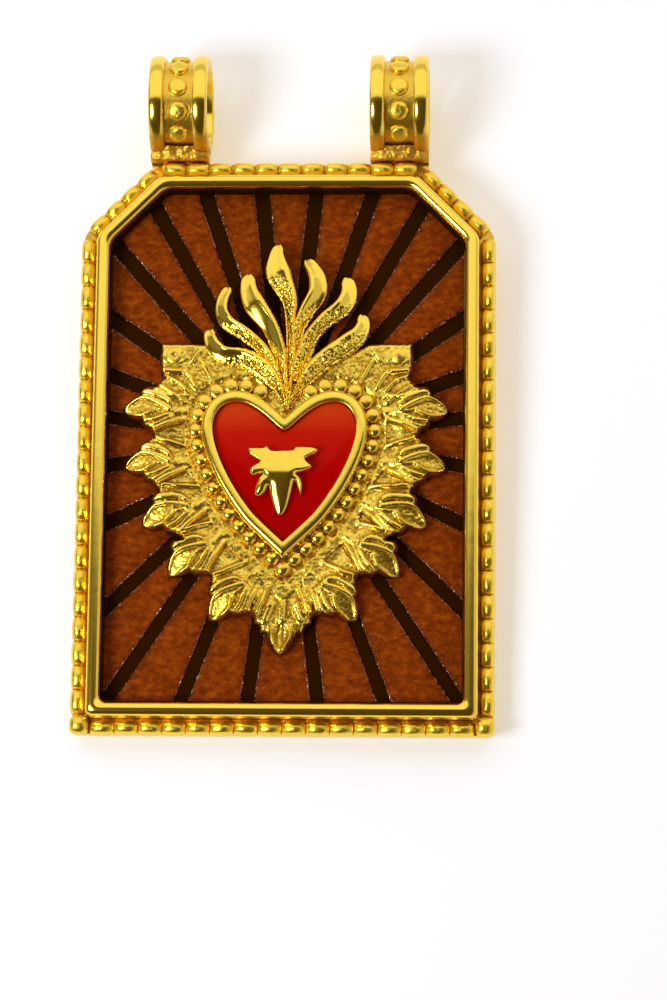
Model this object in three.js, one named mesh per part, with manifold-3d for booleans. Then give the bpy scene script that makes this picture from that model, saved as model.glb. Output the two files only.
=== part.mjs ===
// Gilt plaque pendant: a beaded tray frame with a rayed enamel panel and, on it, a leaf wreath
// that carries a flame and an enamelled heart. Two fixed ring bails stand on the top edge.
// Millimetres. +Z is up as the pendant hangs, the front faces -Y, and the origin lies on the
// common axis of the two bails, midway between them.

import * as THREE from "three";
import { mergeVertices } from "three/addons/utils/BufferGeometryUtils.js";
import Module from "manifold-3d";

const wasm = await Module();
wasm.setup();

// Bails
const bailSetback = 1.9; // from a top corner of the frame in to the middle of the bail
const bailOuterRadius = 4.0;
const bailBoreRadius = 3.05;
const bailRailWidth = 1.15;
const bailChannelWidth = 2.2;
const bailChannelFloorRadius = 3.5;
const bailRailRounding = 0.3;
const bailBeadCount = 10;
const bailBeadPitch = 30.5; // degrees round the bail
const bailLowestBead = 53; // degrees below the bail's axis, on the front
const bailBeadWidth = 1.42;
const bailBeadHeight = 0.46;
const bailBeadClearance = 0.05;
const bailFootFrontReach = 1.0; // in front of the bail's axis
const bailStandOff = 0.57; // from the bail's lowest point down to the top beads

// Frame outline and borders
const frameWidth = 32.0;
const frameHeight = 44.6;
const chamferLeg = 5.6;
const ledgeInset = 0.15;
const beadRowWidth = 1.2;
const beadGroove = 0.1; // between the bead rows and the rim
const rimWidth = 1.1;
const rimHeight = 0.55;
const cornerRounding = 0.7;

// Depths: a back plate, then a wall with a ledge for the beads
const plateThickness = 0.8;
const frameDepth = 3.6; // from the back face to the rim's crest
const ledgeHeight = 0.7; // above the back plate
const beadRowHeight = 1.2;
const beadPitch = 1.81;
const beadNeck = 0.55; // share of a bead's size left between two beads
const cornerBeadRadius = 0.78;
const rowEndGap = 0.08;

// Rayed panel
const panelBase = 0.65;
const rayHeight = 0.3;
const panelClearance = 0.1;
const grooveWidth = 0.87;
const rayCentreDrop = 21.75; // below the top edge of the frame
const grooveAngles = [6.2, 18.5, 29.5, 41.2, 55.2, 70.1, 83.1, 98.8, 116, 134.2, 146.6, 159.2, 172.5];

// Leaf wreath, its right half, as [x, height above the middle of the rays]
const wreathStub = [
  [0, 4.3], [1.5, 4.73], [3.5, 5.73], [6.17, 7.22], [7.4, 7.3],
  [9.64, 7.3], [9.72, 6.2], [9.49, 4.51], [10.0, 3.85],
];
const wreathLeaves = [ // tip and root of each leaf
  [[12.5, 2.02], [8.68, 1.91]],
  [[12.33, -2.42], [8.6, -2.11]],
  [[10.89, -6.91], [7.09, -5.54]],
  [[8.78, -10.79], [5.66, -8.4]],
  [[5.57, -14.18], [2.77, -11.43]],
];
const leafEdge = [ // round a leaf's tip from above, in shares of its length: [along, across]
  [0.65, 0.4], [0.68, 0.32], [0.9, 0.15], [1, 0], [0.88, -0.12], [0.62, -0.21], [0.59, -0.31], [0.39, -0.44],
];
const wreathPoint = [[2.2, -14.35], [1.75, -14.6], [1.6, -15.15], [1.0, -15.8], [0.55, -16.5], [0, -16.84]];
const wreathThickness = 0.95; // of the flat field that carries the heart and the flame
const leafEdgeThickness = 0.4;
const leafRibRise = 0.25; // of a leaf's rib over the flat field
const leafHollow = 0.2; // of the valleys between leaves under the flat field
const leafRibWidth = 9; // degrees
const rivetAngle = 54.0;
const rivetRadiusFromCentre = 10.6;
const rivetPadRadius = 0.9;
const rivetPadRise = 0.1;
const rivetHeadRadius = 0.72;
const rivetHeadHeight = 0.28;
const rivetShankRadius = 0.35;
const rivetClearance = 0.3;

// Heart: half of the bezel's outer line as curves, [x, height above the middle of the rays]
const heartCurves = [
  [[0, 1.08], [0.98, 2.06], [2.27, 3.23], [3.7, 3.23]],
  [[3.7, 3.23], [5.23, 3.23], [6.31, 1.93], [6.26, 0.3]],
  [[6.26, 0.3], [6.21, -1.72], [4.64, -4.69], [2.92, -6.79]],
  [[2.92, -6.79], [1.96, -7.8], [0.88, -8.72], [0, -9.58]],
];
const bezelWidth = 0.76;
const bezelHeight = 1.45;
const bezelRounding = 0.2;
const enamelHeight = 1.0;
const enamelClearance = 0.05;
const enamelMeniscus = 0.18; // rise of the enamel from its edge to its flat top
const enamelSlopeWidth = 0.8;
const heartBeadWidth = 0.95;
const heartBeadHeight = 0.8;
const heartBeadPitch = 1.17;
const heartBeadGap = 0.06; // between the bezel and the beads
const heartBeadStart = 1.8; // left free at the cleft for the flame's root, along the row

// Palmette on the heart: half outline as [x, height above the palmette's middle]
const palmetteDrop = 2.95; // its middle, below the middle of the rays
const palmetteOutline = [
  [0, 1.52], [0.9, 1.52], [1.1, 1.75], [2.0, 1.72], [2.68, 1.42], [1.95, 0.78], [1.65, 0.6], [2.42, 0],
  [1.95, -0.4], [1.3, -0.5], [1.75, -1.4], [1.62, -2.0], [0.95, -1.5], [0.75, -2.2], [0.35, -3.1], [0, -3.5],
];
const palmetteEdge = 0.35;
const palmetteHeight = 0.95;
const palmetteTopShare = 0.6;

// Flame: tongues as [x, height above the middle of the rays, width] from the root to the tip
const flameTongues = [
  [
    [0.1, 1.9, 0.4], [-0.25, 3.05, 0.5], [-0.72, 3.94, 1.1], [-1.81, 5.13, 1.7], [-3.23, 5.96, 1.55],
    [-4.67, 6.24, 1.35], [-5.5, 6.8, 1.3], [-5.76, 7.79, 1.0], [-5.85, 8.25, 0],
  ],
  [
    [-0.3, 3.9, 0.35], [-0.77, 5.3, 0.35], [-1.79, 6.85, 0.73], [-3.19, 7.9, 1.07],
    [-4.42, 8.67, 1.25], [-4.94, 9.58, 1.04], [-4.66, 10.89, 0.73], [-4.36, 11.64, 0],
  ],
  [
    [0.1, 1.9, 0.4], [-0.26, 5.43, 0.87], [-0.57, 6.67, 1.17], [-1.25, 8.45, 1.45],
    [-2.37, 10.08, 1.8], [-2.89, 11.34, 1.34], [-2.92, 12.36, 0.66], [-2.9, 12.61, 0],
  ],
  [
    [0.15, 1.9, 0.4], [0.39, 6.17, 0.53], [0.3, 8.86, 0.66], [0.24, 10.53, 1.3],
    [-0.36, 12.02, 1.66], [-0.65, 12.63, 2.0], [-0.9, 13.99, 1.24], [-0.62, 14.92, 0],
  ],
  [
    [0.4, 6.5, 0.4], [0.79, 8.46, 0.47], [1.51, 9.72, 1.12], [2.3, 11.01, 1.62],
    [2.4, 11.65, 1.46], [2.3, 12.25, 1.37], [1.55, 13.51, 0.56], [1.43, 13.7, 0],
  ],
  [
    [0.5, 4.2, 0.5], [1.26, 6.1, 0.98], [1.79, 7.69, 0.84], [2.95, 8.96, 1.05],
    [4.24, 9.93, 1.5], [4.73, 11.08, 1.3], [4.67, 12.1, 0.65], [4.63, 12.3, 0],
  ],
  [
    [0.3, 2.1, 0.4], [0.72, 3.05, 0.5], [1.35, 4.0, 1.0], [2.17, 5.05, 1.44], [3.29, 6.08, 1.64],
    [4.62, 7.04, 1.7], [5.7, 8.03, 1.34], [5.84, 9.15, 0.69], [5.84, 9.39, 0],
  ],
];
const tongueSteps = 12;
const tongueEdge = 0.35;
const tongueCrest = 0.45; // rise of the crest per millimetre of width, over the edge
const flameRootRadius = 0.45;

// Places that follow from the sizes above
const bailSpacing = frameWidth - 2 * (chamferLeg + bailSetback); // between the middles of the bails
const frameTop = -(bailOuterRadius + bailStandOff);
const frameBottom = frameTop - frameHeight;
const backY = frameDepth / 2;
const plateFrontY = backY - plateThickness;
const ledgeY = plateFrontY - ledgeHeight;
const rimCrestY = backY - frameDepth;
const rimSeatY = rimCrestY + rimHeight;
const wallOuterInset = beadRowWidth + beadGroove;
const openingInset = wallOuterInset + rimWidth;
const chamferLoss = 2 - Math.SQRT2; // what a chamfer's leg loses for each millimetre of inset
const panelBaseY = plateFrontY - panelBase;
const rayTopY = panelBaseY - rayHeight;
const fieldY = rayTopY - wreathThickness;
const rayCentreZ = frameTop - rayCentreDrop;
const enamelTopY = fieldY - enamelHeight;
const palmetteZ = rayCentreZ - palmetteDrop;
const rivetX = rivetRadiusFromCentre * Math.sin(THREE.MathUtils.degToRad(rivetAngle));
const rivetZ = rayCentreZ + rivetRadiusFromCentre * Math.cos(THREE.MathUtils.degToRad(rivetAngle));
const rivetSeatY = fieldY - rivetPadRise;

// Finishes
const gold = new THREE.MeshStandardMaterial({ color: 0xe5bb2e, metalness: 1, roughness: 0.25 });
const satinGold = new THREE.MeshStandardMaterial({ color: 0xd9ae2a, metalness: 1, roughness: 0.45 });
const brownEnamel = new THREE.MeshStandardMaterial({ color: 0x6e2e08, metalness: 0, roughness: 0.55 });
const redEnamel = new THREE.MeshStandardMaterial({ color: 0xb81400, metalness: 0, roughness: 0.12 });

// Solids

// A closed skin over loops of equal length, each a list of Vector3. A section that closes on
// itself has no ends, and any other gets a flat cap on its first and its last loop.
function skin(loops, sectionCloses = false) {
  const count = loops[0].length;
  const positions = loops.flat().flatMap((p) => [p.x, p.y, p.z]);
  const index = [];
  const bands = sectionCloses ? loops.length : loops.length - 1;
  for (let i = 0; i < bands; i++) {
    for (let j = 0; j < count; j++) {
      const a = i * count + j;
      const b = i * count + ((j + 1) % count);
      const c = ((i + 1) % loops.length) * count + j;
      const d = ((i + 1) % loops.length) * count + ((j + 1) % count);
      index.push(a, b, c, b, d, c);
    }
  }
  if (!sectionCloses) {
    index.push(...capOf(loops[0], 0, false));
    index.push(...capOf(loops[loops.length - 1], (loops.length - 1) * count, true));
  }
  const geometry = new THREE.BufferGeometry();
  geometry.setAttribute("position", new THREE.Float32BufferAttribute(positions, 3));
  geometry.setIndex(index);
  return facingOut(mergeVertices(geometry, 1e-4));
}

// Triangles over a flat loop, turned the same way round as the loop or the other way.
function capOf(loop, start, sameWay) {
  const flat = loop.map((p) => new THREE.Vector2(p.x, p.z));
  const faces = THREE.ShapeUtils.triangulateShape(flat, []);
  const areaOf = (face) => THREE.ShapeUtils.area(face.map((i) => flat[i]));
  const facesArea = faces.reduce((sum, face) => sum + areaOf(face), 0);
  const follows = facesArea * THREE.ShapeUtils.area(flat) > 0;
  return faces.flatMap(([a, b, c]) =>
    follows === sameWay ? [start + a, start + b, start + c] : [start + a, start + c, start + b]);
}

// Turns every face round where the geometry holds a negative volume.
function facingOut(geometry) {
  const p = geometry.attributes.position;
  const index = geometry.index.array;
  const [a, b, c] = [new THREE.Vector3(), new THREE.Vector3(), new THREE.Vector3()];
  let volume = 0;
  for (let i = 0; i < index.length; i += 3) {
    a.fromBufferAttribute(p, index[i]);
    b.fromBufferAttribute(p, index[i + 1]);
    c.fromBufferAttribute(p, index[i + 2]);
    volume += a.dot(b.cross(c));
  }
  if (volume < 0) {
    for (let i = 0; i < index.length; i += 3) [index[i + 1], index[i + 2]] = [index[i + 2], index[i + 1]];
  }
  return geometry;
}

function toSolid(geometry) {
  const bare = geometry.clone();
  bare.deleteAttribute("normal");
  bare.deleteAttribute("uv");
  const merged = mergeVertices(bare, 1e-4);
  return new wasm.Manifold(
    new wasm.Mesh({
      numProp: 3,
      vertProperties: new Float32Array(merged.attributes.position.array),
      triVerts: new Uint32Array(merged.index.array),
    }),
  );
}

function toGeometry(solid) {
  const mesh = solid.getMesh();
  const geometry = new THREE.BufferGeometry();
  geometry.setAttribute("position", new THREE.Float32BufferAttribute(mesh.vertProperties, 3));
  geometry.setIndex(new THREE.Uint32BufferAttribute(mesh.triVerts, 1));
  return geometry;
}

const join = (geometries) => toGeometry(geometries.map(toSolid).reduce((all, one) => all.add(one)));
const cut = (geometry, tools) =>
  toGeometry(tools.map(toSolid).reduce((left, tool) => left.subtract(tool), toSolid(geometry)));

// A round bar along Y between two depths.
function barAlongY(radius, y0, y1, x, z, sides = 16) {
  return new THREE.CylinderGeometry(radius, radius, Math.abs(y1 - y0), sides).translate(x, (y0 + y1) / 2, z);
}

const at = (y) => (p) => new THREE.Vector3(p.x, y, p.y);

// Outlines, as lists of Vector2 that hold x and z

// The frame's outline moved inwards, its corners still sharp, from the bottom left corner round.
function frameCorners(inset) {
  const halfWidth = frameWidth / 2 - inset;
  const leg = chamferLeg - inset * chamferLoss;
  const top = frameTop - inset;
  const bottom = frameBottom + inset;
  return [
    new THREE.Vector2(-halfWidth, bottom),
    new THREE.Vector2(halfWidth, bottom),
    new THREE.Vector2(halfWidth, top - leg),
    new THREE.Vector2(halfWidth - leg, top),
    new THREE.Vector2(-halfWidth + leg, top),
    new THREE.Vector2(-halfWidth, top - leg),
  ];
}

// The same outline with every corner rounded by a short curve.
function frameLoop(inset, rounding = cornerRounding, steps = 3) {
  const corners = frameCorners(inset);
  return corners.flatMap((corner, i) => {
    const before = corners[(i + corners.length - 1) % corners.length];
    const after = corners[(i + 1) % corners.length];
    const start = corner.clone().add(before.clone().sub(corner).setLength(rounding));
    const end = corner.clone().add(after.clone().sub(corner).setLength(rounding));
    return new THREE.QuadraticBezierCurve(start, corner, end).getPoints(steps);
  });
}

const frameRing = (section) => skin(section.map(([inset, y]) => frameLoop(inset).map(at(y))), true);

// The right half of the heart from cleft to tip, moved outwards by an offset and clipped at x = 0.
function heartHalf(offset) {
  const base = heartCurves.flatMap((curve, i) => {
    const [a, b, c, d] = curve.map(([x, up]) => new THREE.Vector2(x, rayCentreZ + up));
    return new THREE.CubicBezierCurve(a, b, c, d).getPoints(24).slice(i ? 1 : 0);
  });
  const moved = base.map((p, i) => {
    const before = base[Math.max(i - 1, 0)];
    const after = base[Math.min(i + 1, base.length - 1)];
    const along = after.clone().sub(before).normalize();
    return new THREE.Vector2(p.x - along.y * offset, p.y + along.x * offset);
  });
  const kept = moved.filter((p) => p.x > 1e-3);
  const onAxis = (near, next) => near.y + ((next.y - near.y) * (0 - near.x)) / (next.x - near.x);
  kept.unshift(new THREE.Vector2(0, onAxis(kept[0], kept[1])));
  kept.push(new THREE.Vector2(0, onAxis(kept[kept.length - 1], kept[kept.length - 2])));
  return kept;
}

// Equal steps along a line of points: count + 1 of them, both ends included.
function evenly(points, count) {
  const curve = new THREE.CurvePath();
  points.slice(1).forEach((p, i) => curve.add(new THREE.LineCurve(points[i], p)));
  return Array.from({ length: count + 1 }, (_, i) => curve.getPoint(i / count));
}

function heartLoop(offset, halfSteps = 22) {
  const right = evenly(heartHalf(offset), halfSteps);
  const left = right.slice(1, -1).reverse().map((p) => new THREE.Vector2(-p.x, p.y));
  return [...right, ...left];
}

// Where a ray from the middle of the rays, at an angle from straight up, crosses a loop.
function crossing(loop, degrees) {
  const angle = THREE.MathUtils.degToRad(degrees);
  const direction = new THREE.Vector2(Math.sin(angle), Math.cos(angle));
  const centre = new THREE.Vector2(0, rayCentreZ);
  let best = 0;
  loop.forEach((p, i) => {
    const q = loop[(i + 1) % loop.length];
    const edge = q.clone().sub(p);
    const across = direction.cross(edge);
    if (Math.abs(across) < 1e-9) return;
    const distance = p.clone().sub(centre).cross(edge) / across;
    const share = p.clone().sub(centre).cross(direction) / across;
    if (share >= -1e-6 && share <= 1 + 1e-6) best = Math.max(best, distance);
  });
  return best;
}

// Beaded wire: a bar of arched section that swells once for each bead. route gives, for a share
// of its length, the point on its base line and the directions across it and up from its base.
const beadSection = [[-0.85, 0], [-1, 0.45], [-0.55, 0.94], [0.55, 0.94], [1, 0.45], [0.85, 0]];
const beadSwell = [[0, beadNeck], [0.14, 0.86], [0.5, 1], [0.86, 0.86]];

function beadedWire(route, beads, width, height) {
  const loops = [];
  const addLoop = (share, size) => {
    const { base, across, up } = route(share);
    loops.push(beadSection.map(([u, v]) =>
      base.clone().addScaledVector(across, (u * width * size) / 2).addScaledVector(up, v * height * size)));
  };
  for (let bead = 0; bead < beads; bead++) {
    for (const [phase, size] of beadSwell) addLoop((bead + phase) / beads, size);
  }
  addLoop(1, beadNeck);
  return skinOpenTube(loops);
}

// A tube over loops that lie across its length, closed by a fan at each end.
function skinOpenTube(loops) {
  const count = loops[0].length;
  const positions = loops.flat().flatMap((p) => [p.x, p.y, p.z]);
  const index = [];
  for (let i = 0; i + 1 < loops.length; i++) {
    for (let j = 0; j < count; j++) {
      const a = i * count + j;
      const b = i * count + ((j + 1) % count);
      index.push(a, b, a + count, b, b + count, a + count);
    }
  }
  const last = (loops.length - 1) * count;
  for (let j = 1; j + 1 < count; j++) {
    index.push(0, j + 1, j);
    index.push(last, last + j, last + j + 1);
  }
  const geometry = new THREE.BufferGeometry();
  geometry.setAttribute("position", new THREE.Float32BufferAttribute(positions, 3));
  geometry.setIndex(index);
  return facingOut(geometry);
}

const front = new THREE.Vector3(0, -1, 0);

// A straight bead row on the ledge between two corners of its centre line, kept back at each end.
function frameBeadRow(from, to, backAtStart, backAtEnd) {
  const start = new THREE.Vector3(from.x, ledgeY, from.y);
  const end = new THREE.Vector3(to.x, ledgeY, to.y);
  const along = end.clone().sub(start).normalize();
  start.addScaledVector(along, backAtStart);
  end.addScaledVector(along, -backAtEnd);
  const across = along.clone().cross(front);
  const beads = Math.round(start.distanceTo(end) / beadPitch);
  const route = (share) => ({ base: start.clone().lerp(end, share), across, up: front });
  return beadedWire(route, beads, beadRowWidth, beadRowHeight);
}

// Pieces

function backPlate() {
  const plate = skin([frameLoop(ledgeInset).map(at(backY)), frameLoop(ledgeInset).map(at(plateFrontY))]);
  return cut(plate, rivetHoles());
}

function rivetHoles() {
  return [-1, 1].map((side) =>
    barAlongY(rivetShankRadius + rivetClearance, backY + 1, rivetSeatY - 1, side * rivetX, rivetZ));
}

function frameWall() {
  return frameRing([
    [ledgeInset, plateFrontY],
    [ledgeInset, ledgeY],
    [wallOuterInset, ledgeY],
    [wallOuterInset, rimSeatY],
    [openingInset, rimSeatY],
    [openingInset, plateFrontY],
  ]);
}

// Half-round wire laid on the wall.
function rimMoulding() {
  const steps = 6;
  const section = Array.from({ length: steps + 1 }, (_, i) => {
    const angle = (Math.PI * i) / steps;
    const middle = wallOuterInset + rimWidth / 2;
    return [middle - (Math.cos(angle) * rimWidth) / 2, rimSeatY - Math.sin(angle) * rimHeight];
  });
  return frameRing(section);
}

function rayPanel() {
  const outline = frameLoop(openingInset + panelClearance);
  const plate = skin([outline.map(at(plateFrontY)), outline.map(at(rayTopY))]);
  const grooves = grooveAngles.flatMap((degrees) => [-1, 1].map((side) => {
    const groove = new THREE.BoxGeometry(grooveWidth, 2 * rayHeight, frameHeight);
    groove.translate(0, rayTopY, frameHeight / 2);
    groove.rotateY(side * THREE.MathUtils.degToRad(degrees));
    return groove.translate(0, 0, rayCentreZ);
  }));
  return cut(plate, [...grooves, ...rivetHoles()]);
}

// The wreath's right half as [degrees from straight up, radius], from the stub over the leaves.
function wreathHalf() {
  const leaves = wreathLeaves.flatMap(([tip, root]) => {
    const [x, up] = [tip[0] - root[0], tip[1] - root[1]];
    return leafEdge.map(([u, v]) => [root[0] + x * u - up * v, root[1] + up * u + x * v]);
  });
  return [...wreathStub, ...leaves, ...wreathPoint].map(toPolar);
}

const toPolar = ([x, up]) => [THREE.MathUtils.radToDeg(Math.atan2(x, up)), Math.hypot(x, up)];

// The wreath's rim, leaf ribs and flat field as loops of points at the same angles.
function leafWreath() {
  const fieldEdge = heartLoop(heartBeadGap + heartBeadWidth + 0.2);
  const half = wreathHalf();
  const leftSide = half.slice(1, -1).reverse().map(([degrees, radius]) => [-degrees, radius]);
  const stations = [...half, ...leftSide];
  const wreathTips = [rivetAngle, ...wreathLeaves.map(([tip]) => toPolar(tip)[0]), 180];
  const place = (degrees, radius, y) => {
    const angle = THREE.MathUtils.degToRad(degrees);
    return new THREE.Vector3(Math.sin(angle) * radius, y, rayCentreZ + Math.cos(angle) * radius);
  };
  const inner = (degrees, radius) => Math.min(crossing(fieldEdge, Math.abs(degrees)), radius * 0.9);
  const underFlame = (degrees) => Math.abs(degrees) < wreathTips[0] - leafRibWidth;
  const ribY = (degrees) => {
    if (underFlame(degrees)) return fieldY;
    const offRib = Math.min(...wreathTips.map((tip) => Math.abs(Math.abs(degrees) - tip)));
    const share = Math.min(offRib / leafRibWidth, 1);
    return fieldY - leafRibRise + share * (leafRibRise + leafHollow);
  };
  const edgeY = (degrees) => (underFlame(degrees) ? fieldY : rayTopY - leafEdgeThickness);
  const between = (degrees, radius, share) => THREE.MathUtils.lerp(inner(degrees, radius), radius, share);
  const relief = skin([
    stations.map(([d, r]) => place(d, r, rayTopY)),
    stations.map(([d, r]) => place(d, r, edgeY(d))),
    stations.map(([d, r]) => place(d, between(d, r, 0.75), (ribY(d) + edgeY(d)) / 2)),
    stations.map(([d, r]) => place(d, between(d, r, 0.35), ribY(d))),
    stations.map(([d, r]) => place(d, inner(d, r), fieldY)),
  ]);
  const pads = [-1, 1].map((side) =>
    barAlongY(rivetPadRadius, rayTopY, rivetSeatY, side * rivetX, rivetZ));
  return cut(join([relief, ...pads]), rivetHoles());
}

// A rivet whose domed head rests on the wreath and whose shank ends flush with the back face.
function wreathRivet(side) {
  const profile = [
    [0, backY],
    [rivetShankRadius, backY],
    [rivetShankRadius, rivetSeatY],
    [rivetHeadRadius, rivetSeatY],
    [rivetHeadRadius * 0.8, rivetSeatY - rivetHeadHeight * 0.65],
    [0, rivetSeatY - rivetHeadHeight],
  ];
  const rivet = new THREE.LatheGeometry(profile.map(([r, y]) => new THREE.Vector2(r, y)), 16);
  rivet.deleteAttribute("normal");
  rivet.deleteAttribute("uv");
  return facingOut(mergeVertices(rivet, 1e-4)).translate(side * rivetX, 0, rivetZ);
}

function heartBezel() {
  const topY = fieldY - bezelHeight;
  const section = [
    [0, fieldY],
    [0, topY + bezelRounding * 1.6],
    [-bezelRounding * 0.6, topY + bezelRounding * 0.4],
    [-bezelWidth / 2, topY],
    [-bezelWidth + bezelRounding * 0.6, topY + bezelRounding * 0.4],
    [-bezelWidth, topY + bezelRounding * 1.6],
    [-bezelWidth, fieldY],
  ];
  return skin(section.map(([offset, y]) => heartLoop(offset).map(at(y))), true);
}

function heartEnamel() {
  const edge = -bezelWidth - enamelClearance;
  return skin([
    heartLoop(edge).map(at(fieldY)),
    heartLoop(edge).map(at(enamelTopY + enamelMeniscus)),
    heartLoop(edge - enamelSlopeWidth / 2).map(at(enamelTopY + enamelMeniscus * 0.3)),
    heartLoop(edge - enamelSlopeWidth).map(at(enamelTopY)),
  ]);
}

// Beads round the heart, open at the cleft where the flame's root comes down.
function heartBeadRing() {
  const half = evenly(heartHalf(heartBeadGap + heartBeadWidth / 2), 80);
  const whole = [...half, ...half.slice(0, -1).reverse().map((p) => new THREE.Vector2(-p.x, p.y))];
  const total = whole.slice(1).reduce((sum, p, i) => sum + p.distanceTo(whole[i]), 0);
  const free = heartBeadStart / total;
  const row = evenly(whole, 400);
  const beads = Math.round((total - 2 * heartBeadStart) / heartBeadPitch);
  const pointAt = (share) => {
    const place = share * (row.length - 1);
    const i = Math.min(Math.floor(place), row.length - 2);
    return row[i].clone().lerp(row[i + 1], place - i);
  };
  const route = (share) => {
    const t = free + share * (1 - 2 * free);
    const p = pointAt(t);
    const along = pointAt(Math.min(t + 0.008, 1)).sub(pointAt(Math.max(t - 0.008, 0))).normalize();
    return {
      base: new THREE.Vector3(p.x, fieldY, p.y),
      across: new THREE.Vector3(along.y, 0, -along.x),
      up: front,
    };
  };
  return beadedWire(route, beads, heartBeadWidth, heartBeadHeight);
}

function palmetteBoss() {
  const left = palmetteOutline.slice(1, -1).reverse().map(([x, up]) => [-x, up]);
  const outline = [...palmetteOutline, ...left].map(([x, up]) => new THREE.Vector2(x, palmetteZ + up));
  const middle = new THREE.Vector2(0, palmetteZ);
  const shrunk = outline.map((p) => p.clone().sub(middle).multiplyScalar(palmetteTopShare).add(middle));
  return skin([
    outline.map(at(enamelTopY)),
    outline.map(at(enamelTopY - palmetteEdge)),
    shrunk.map(at(enamelTopY - palmetteHeight)),
  ]);
}

// One tongue: a bar with a crest, as wide as its list says, that narrows to its tip.
function flameTongue(stations) {
  const spine = new THREE.CatmullRomCurve3(
    stations.map(([x, up]) => new THREE.Vector3(x, 0, rayCentreZ + up)), false, "centripetal");
  const widthAt = (share) => {
    const place = share * (stations.length - 1);
    const i = Math.min(Math.floor(place), stations.length - 2);
    return Math.max(THREE.MathUtils.lerp(stations[i][2], stations[i + 1][2], place - i), 0.12);
  };
  const loops = Array.from({ length: tongueSteps + 1 }, (_, i) => {
    const share = i / tongueSteps;
    const middle = spine.getPoint(share);
    const along = spine.getTangent(share);
    const half = new THREE.Vector3(along.z, 0, -along.x).multiplyScalar(widthAt(share) / 2);
    const edge = tongueEdge;
    const crest = tongueEdge + widthAt(share) * tongueCrest;
    const point = (side, rise) => middle.clone().addScaledVector(half, side).setY(fieldY - rise);
    return [point(-1, 0), point(-1, edge), point(0, crest), point(1, edge), point(1, 0)];
  });
  return skinOpenTube(loops);
}

function flame() {
  const [rootX, rootUp] = flameTongues[0][0];
  const rootTop = fieldY - tongueEdge;
  const root = barAlongY(flameRootRadius, fieldY, rootTop, rootX, rayCentreZ + rootUp, 12);
  return join([root, ...flameTongues.map(flameTongue)]);
}

// A band with two rails and a channel between them, and a foot that stands on the frame's top edge.
function bail(side) {
  const half = bailRailWidth + bailChannelWidth / 2;
  const rail = (x, sign) => [
    [x + sign * bailRailWidth, bailOuterRadius - bailRailRounding],
    [x + sign * (bailRailWidth - bailRailRounding), bailOuterRadius],
    [x + sign * bailRailRounding, bailOuterRadius],
    [x, bailOuterRadius - bailRailRounding],
    [x, bailChannelFloorRadius],
  ];
  const channel = bailChannelWidth / 2;
  const outside = [...rail(channel, 1), ...rail(-channel, -1).reverse()];
  const inside = [
    [-half, bailBoreRadius + bailRailRounding / 2],
    [-half + bailRailRounding / 2, bailBoreRadius],
    [half - bailRailRounding / 2, bailBoreRadius],
    [half, bailBoreRadius + bailRailRounding / 2],
  ];
  const section = [...outside, ...inside];
  const steps = 32;
  const loops = section.map(([x, radius]) => Array.from({ length: steps }, (_, i) => {
    const angle = (2 * Math.PI * (i + 0.5)) / steps;
    return new THREE.Vector3(x, Math.cos(angle) * radius, Math.sin(angle) * radius);
  }));
  const band = skin(loops, true);
  const beadTop = frameTop + rowEndGap;
  const seat = frameTop - ledgeInset;
  const footProfile = [
    [-bailFootFrontReach, beadTop],
    [ledgeY + rowEndGap, beadTop],
    [ledgeY + rowEndGap, seat],
    [backY, seat],
    [backY, -bailChannelFloorRadius],
    [-bailFootFrontReach, -bailChannelFloorRadius],
  ].map(([y, z]) => new THREE.Vector2(y, z));
  const footShape = new THREE.Shape(footProfile);
  const foot = new THREE.ExtrudeGeometry(footShape, { depth: 2 * half, bevelEnabled: false });
  foot.applyMatrix4(new THREE.Matrix4().set(0, 0, 1, -half, 1, 0, 0, 0, 0, 1, 0, 0, 0, 0, 0, 1));
  return join([band, foot]).translate((side * bailSpacing) / 2, 0, 0);
}

// Beads in the channel, from just above the foot in front, over the top and down the back.
function bailBeadRow(side) {
  const baseRadius = bailChannelFloorRadius + bailBeadClearance;
  const across = new THREE.Vector3(1, 0, 0);
  const route = (share) => {
    const degrees = -bailLowestBead + (share * bailBeadCount - 0.5) * bailBeadPitch;
    const angle = THREE.MathUtils.degToRad(degrees);
    const up = new THREE.Vector3(0, -Math.cos(angle), Math.sin(angle));
    return { base: up.clone().multiplyScalar(baseRadius), across, up };
  };
  const beads = beadedWire(route, bailBeadCount, bailBeadWidth, bailBeadHeight);
  return beads.translate((side * bailSpacing) / 2, 0, 0);
}

// A domed bead that turns the border round a bottom corner.
function cornerBead(side) {
  const rings = [[1, 0], [1, 0.35], [0.86, 0.68], [0.5, 0.93]];
  const profile = [[0, 0], ...rings, [0, 1]].map(([r, up]) =>
    new THREE.Vector2(r * cornerBeadRadius, -up * (beadRowHeight + 0.1)));
  const bead = new THREE.LatheGeometry(profile, 14);
  bead.deleteAttribute("normal");
  bead.deleteAttribute("uv");
  const x = side * (frameWidth / 2 - cornerBeadRadius);
  return facingOut(mergeVertices(bead, 1e-4)).translate(x, ledgeY, frameBottom + cornerBeadRadius);
}

// Assembly
const pendant = new THREE.Group();
function add(name, geometry, material) {
  const mesh = new THREE.Mesh(geometry, material);
  mesh.name = name;
  mesh.geometry.computeVertexNormals();
  pendant.add(mesh);
}

add("back_plate", backPlate(), gold);
add("frame_wall", frameWall(), gold);
add("rim_moulding", rimMoulding(), gold);
add("ray_panel", rayPanel(), brownEnamel);
add("leaf_wreath", leafWreath(), satinGold);
add("heart_bezel", heartBezel(), gold);
add("heart_enamel", heartEnamel(), redEnamel);
add("heart_bead_ring", heartBeadRing(), gold);
add("palmette_boss", palmetteBoss(), gold);
add("flame", flame(), gold);

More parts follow.
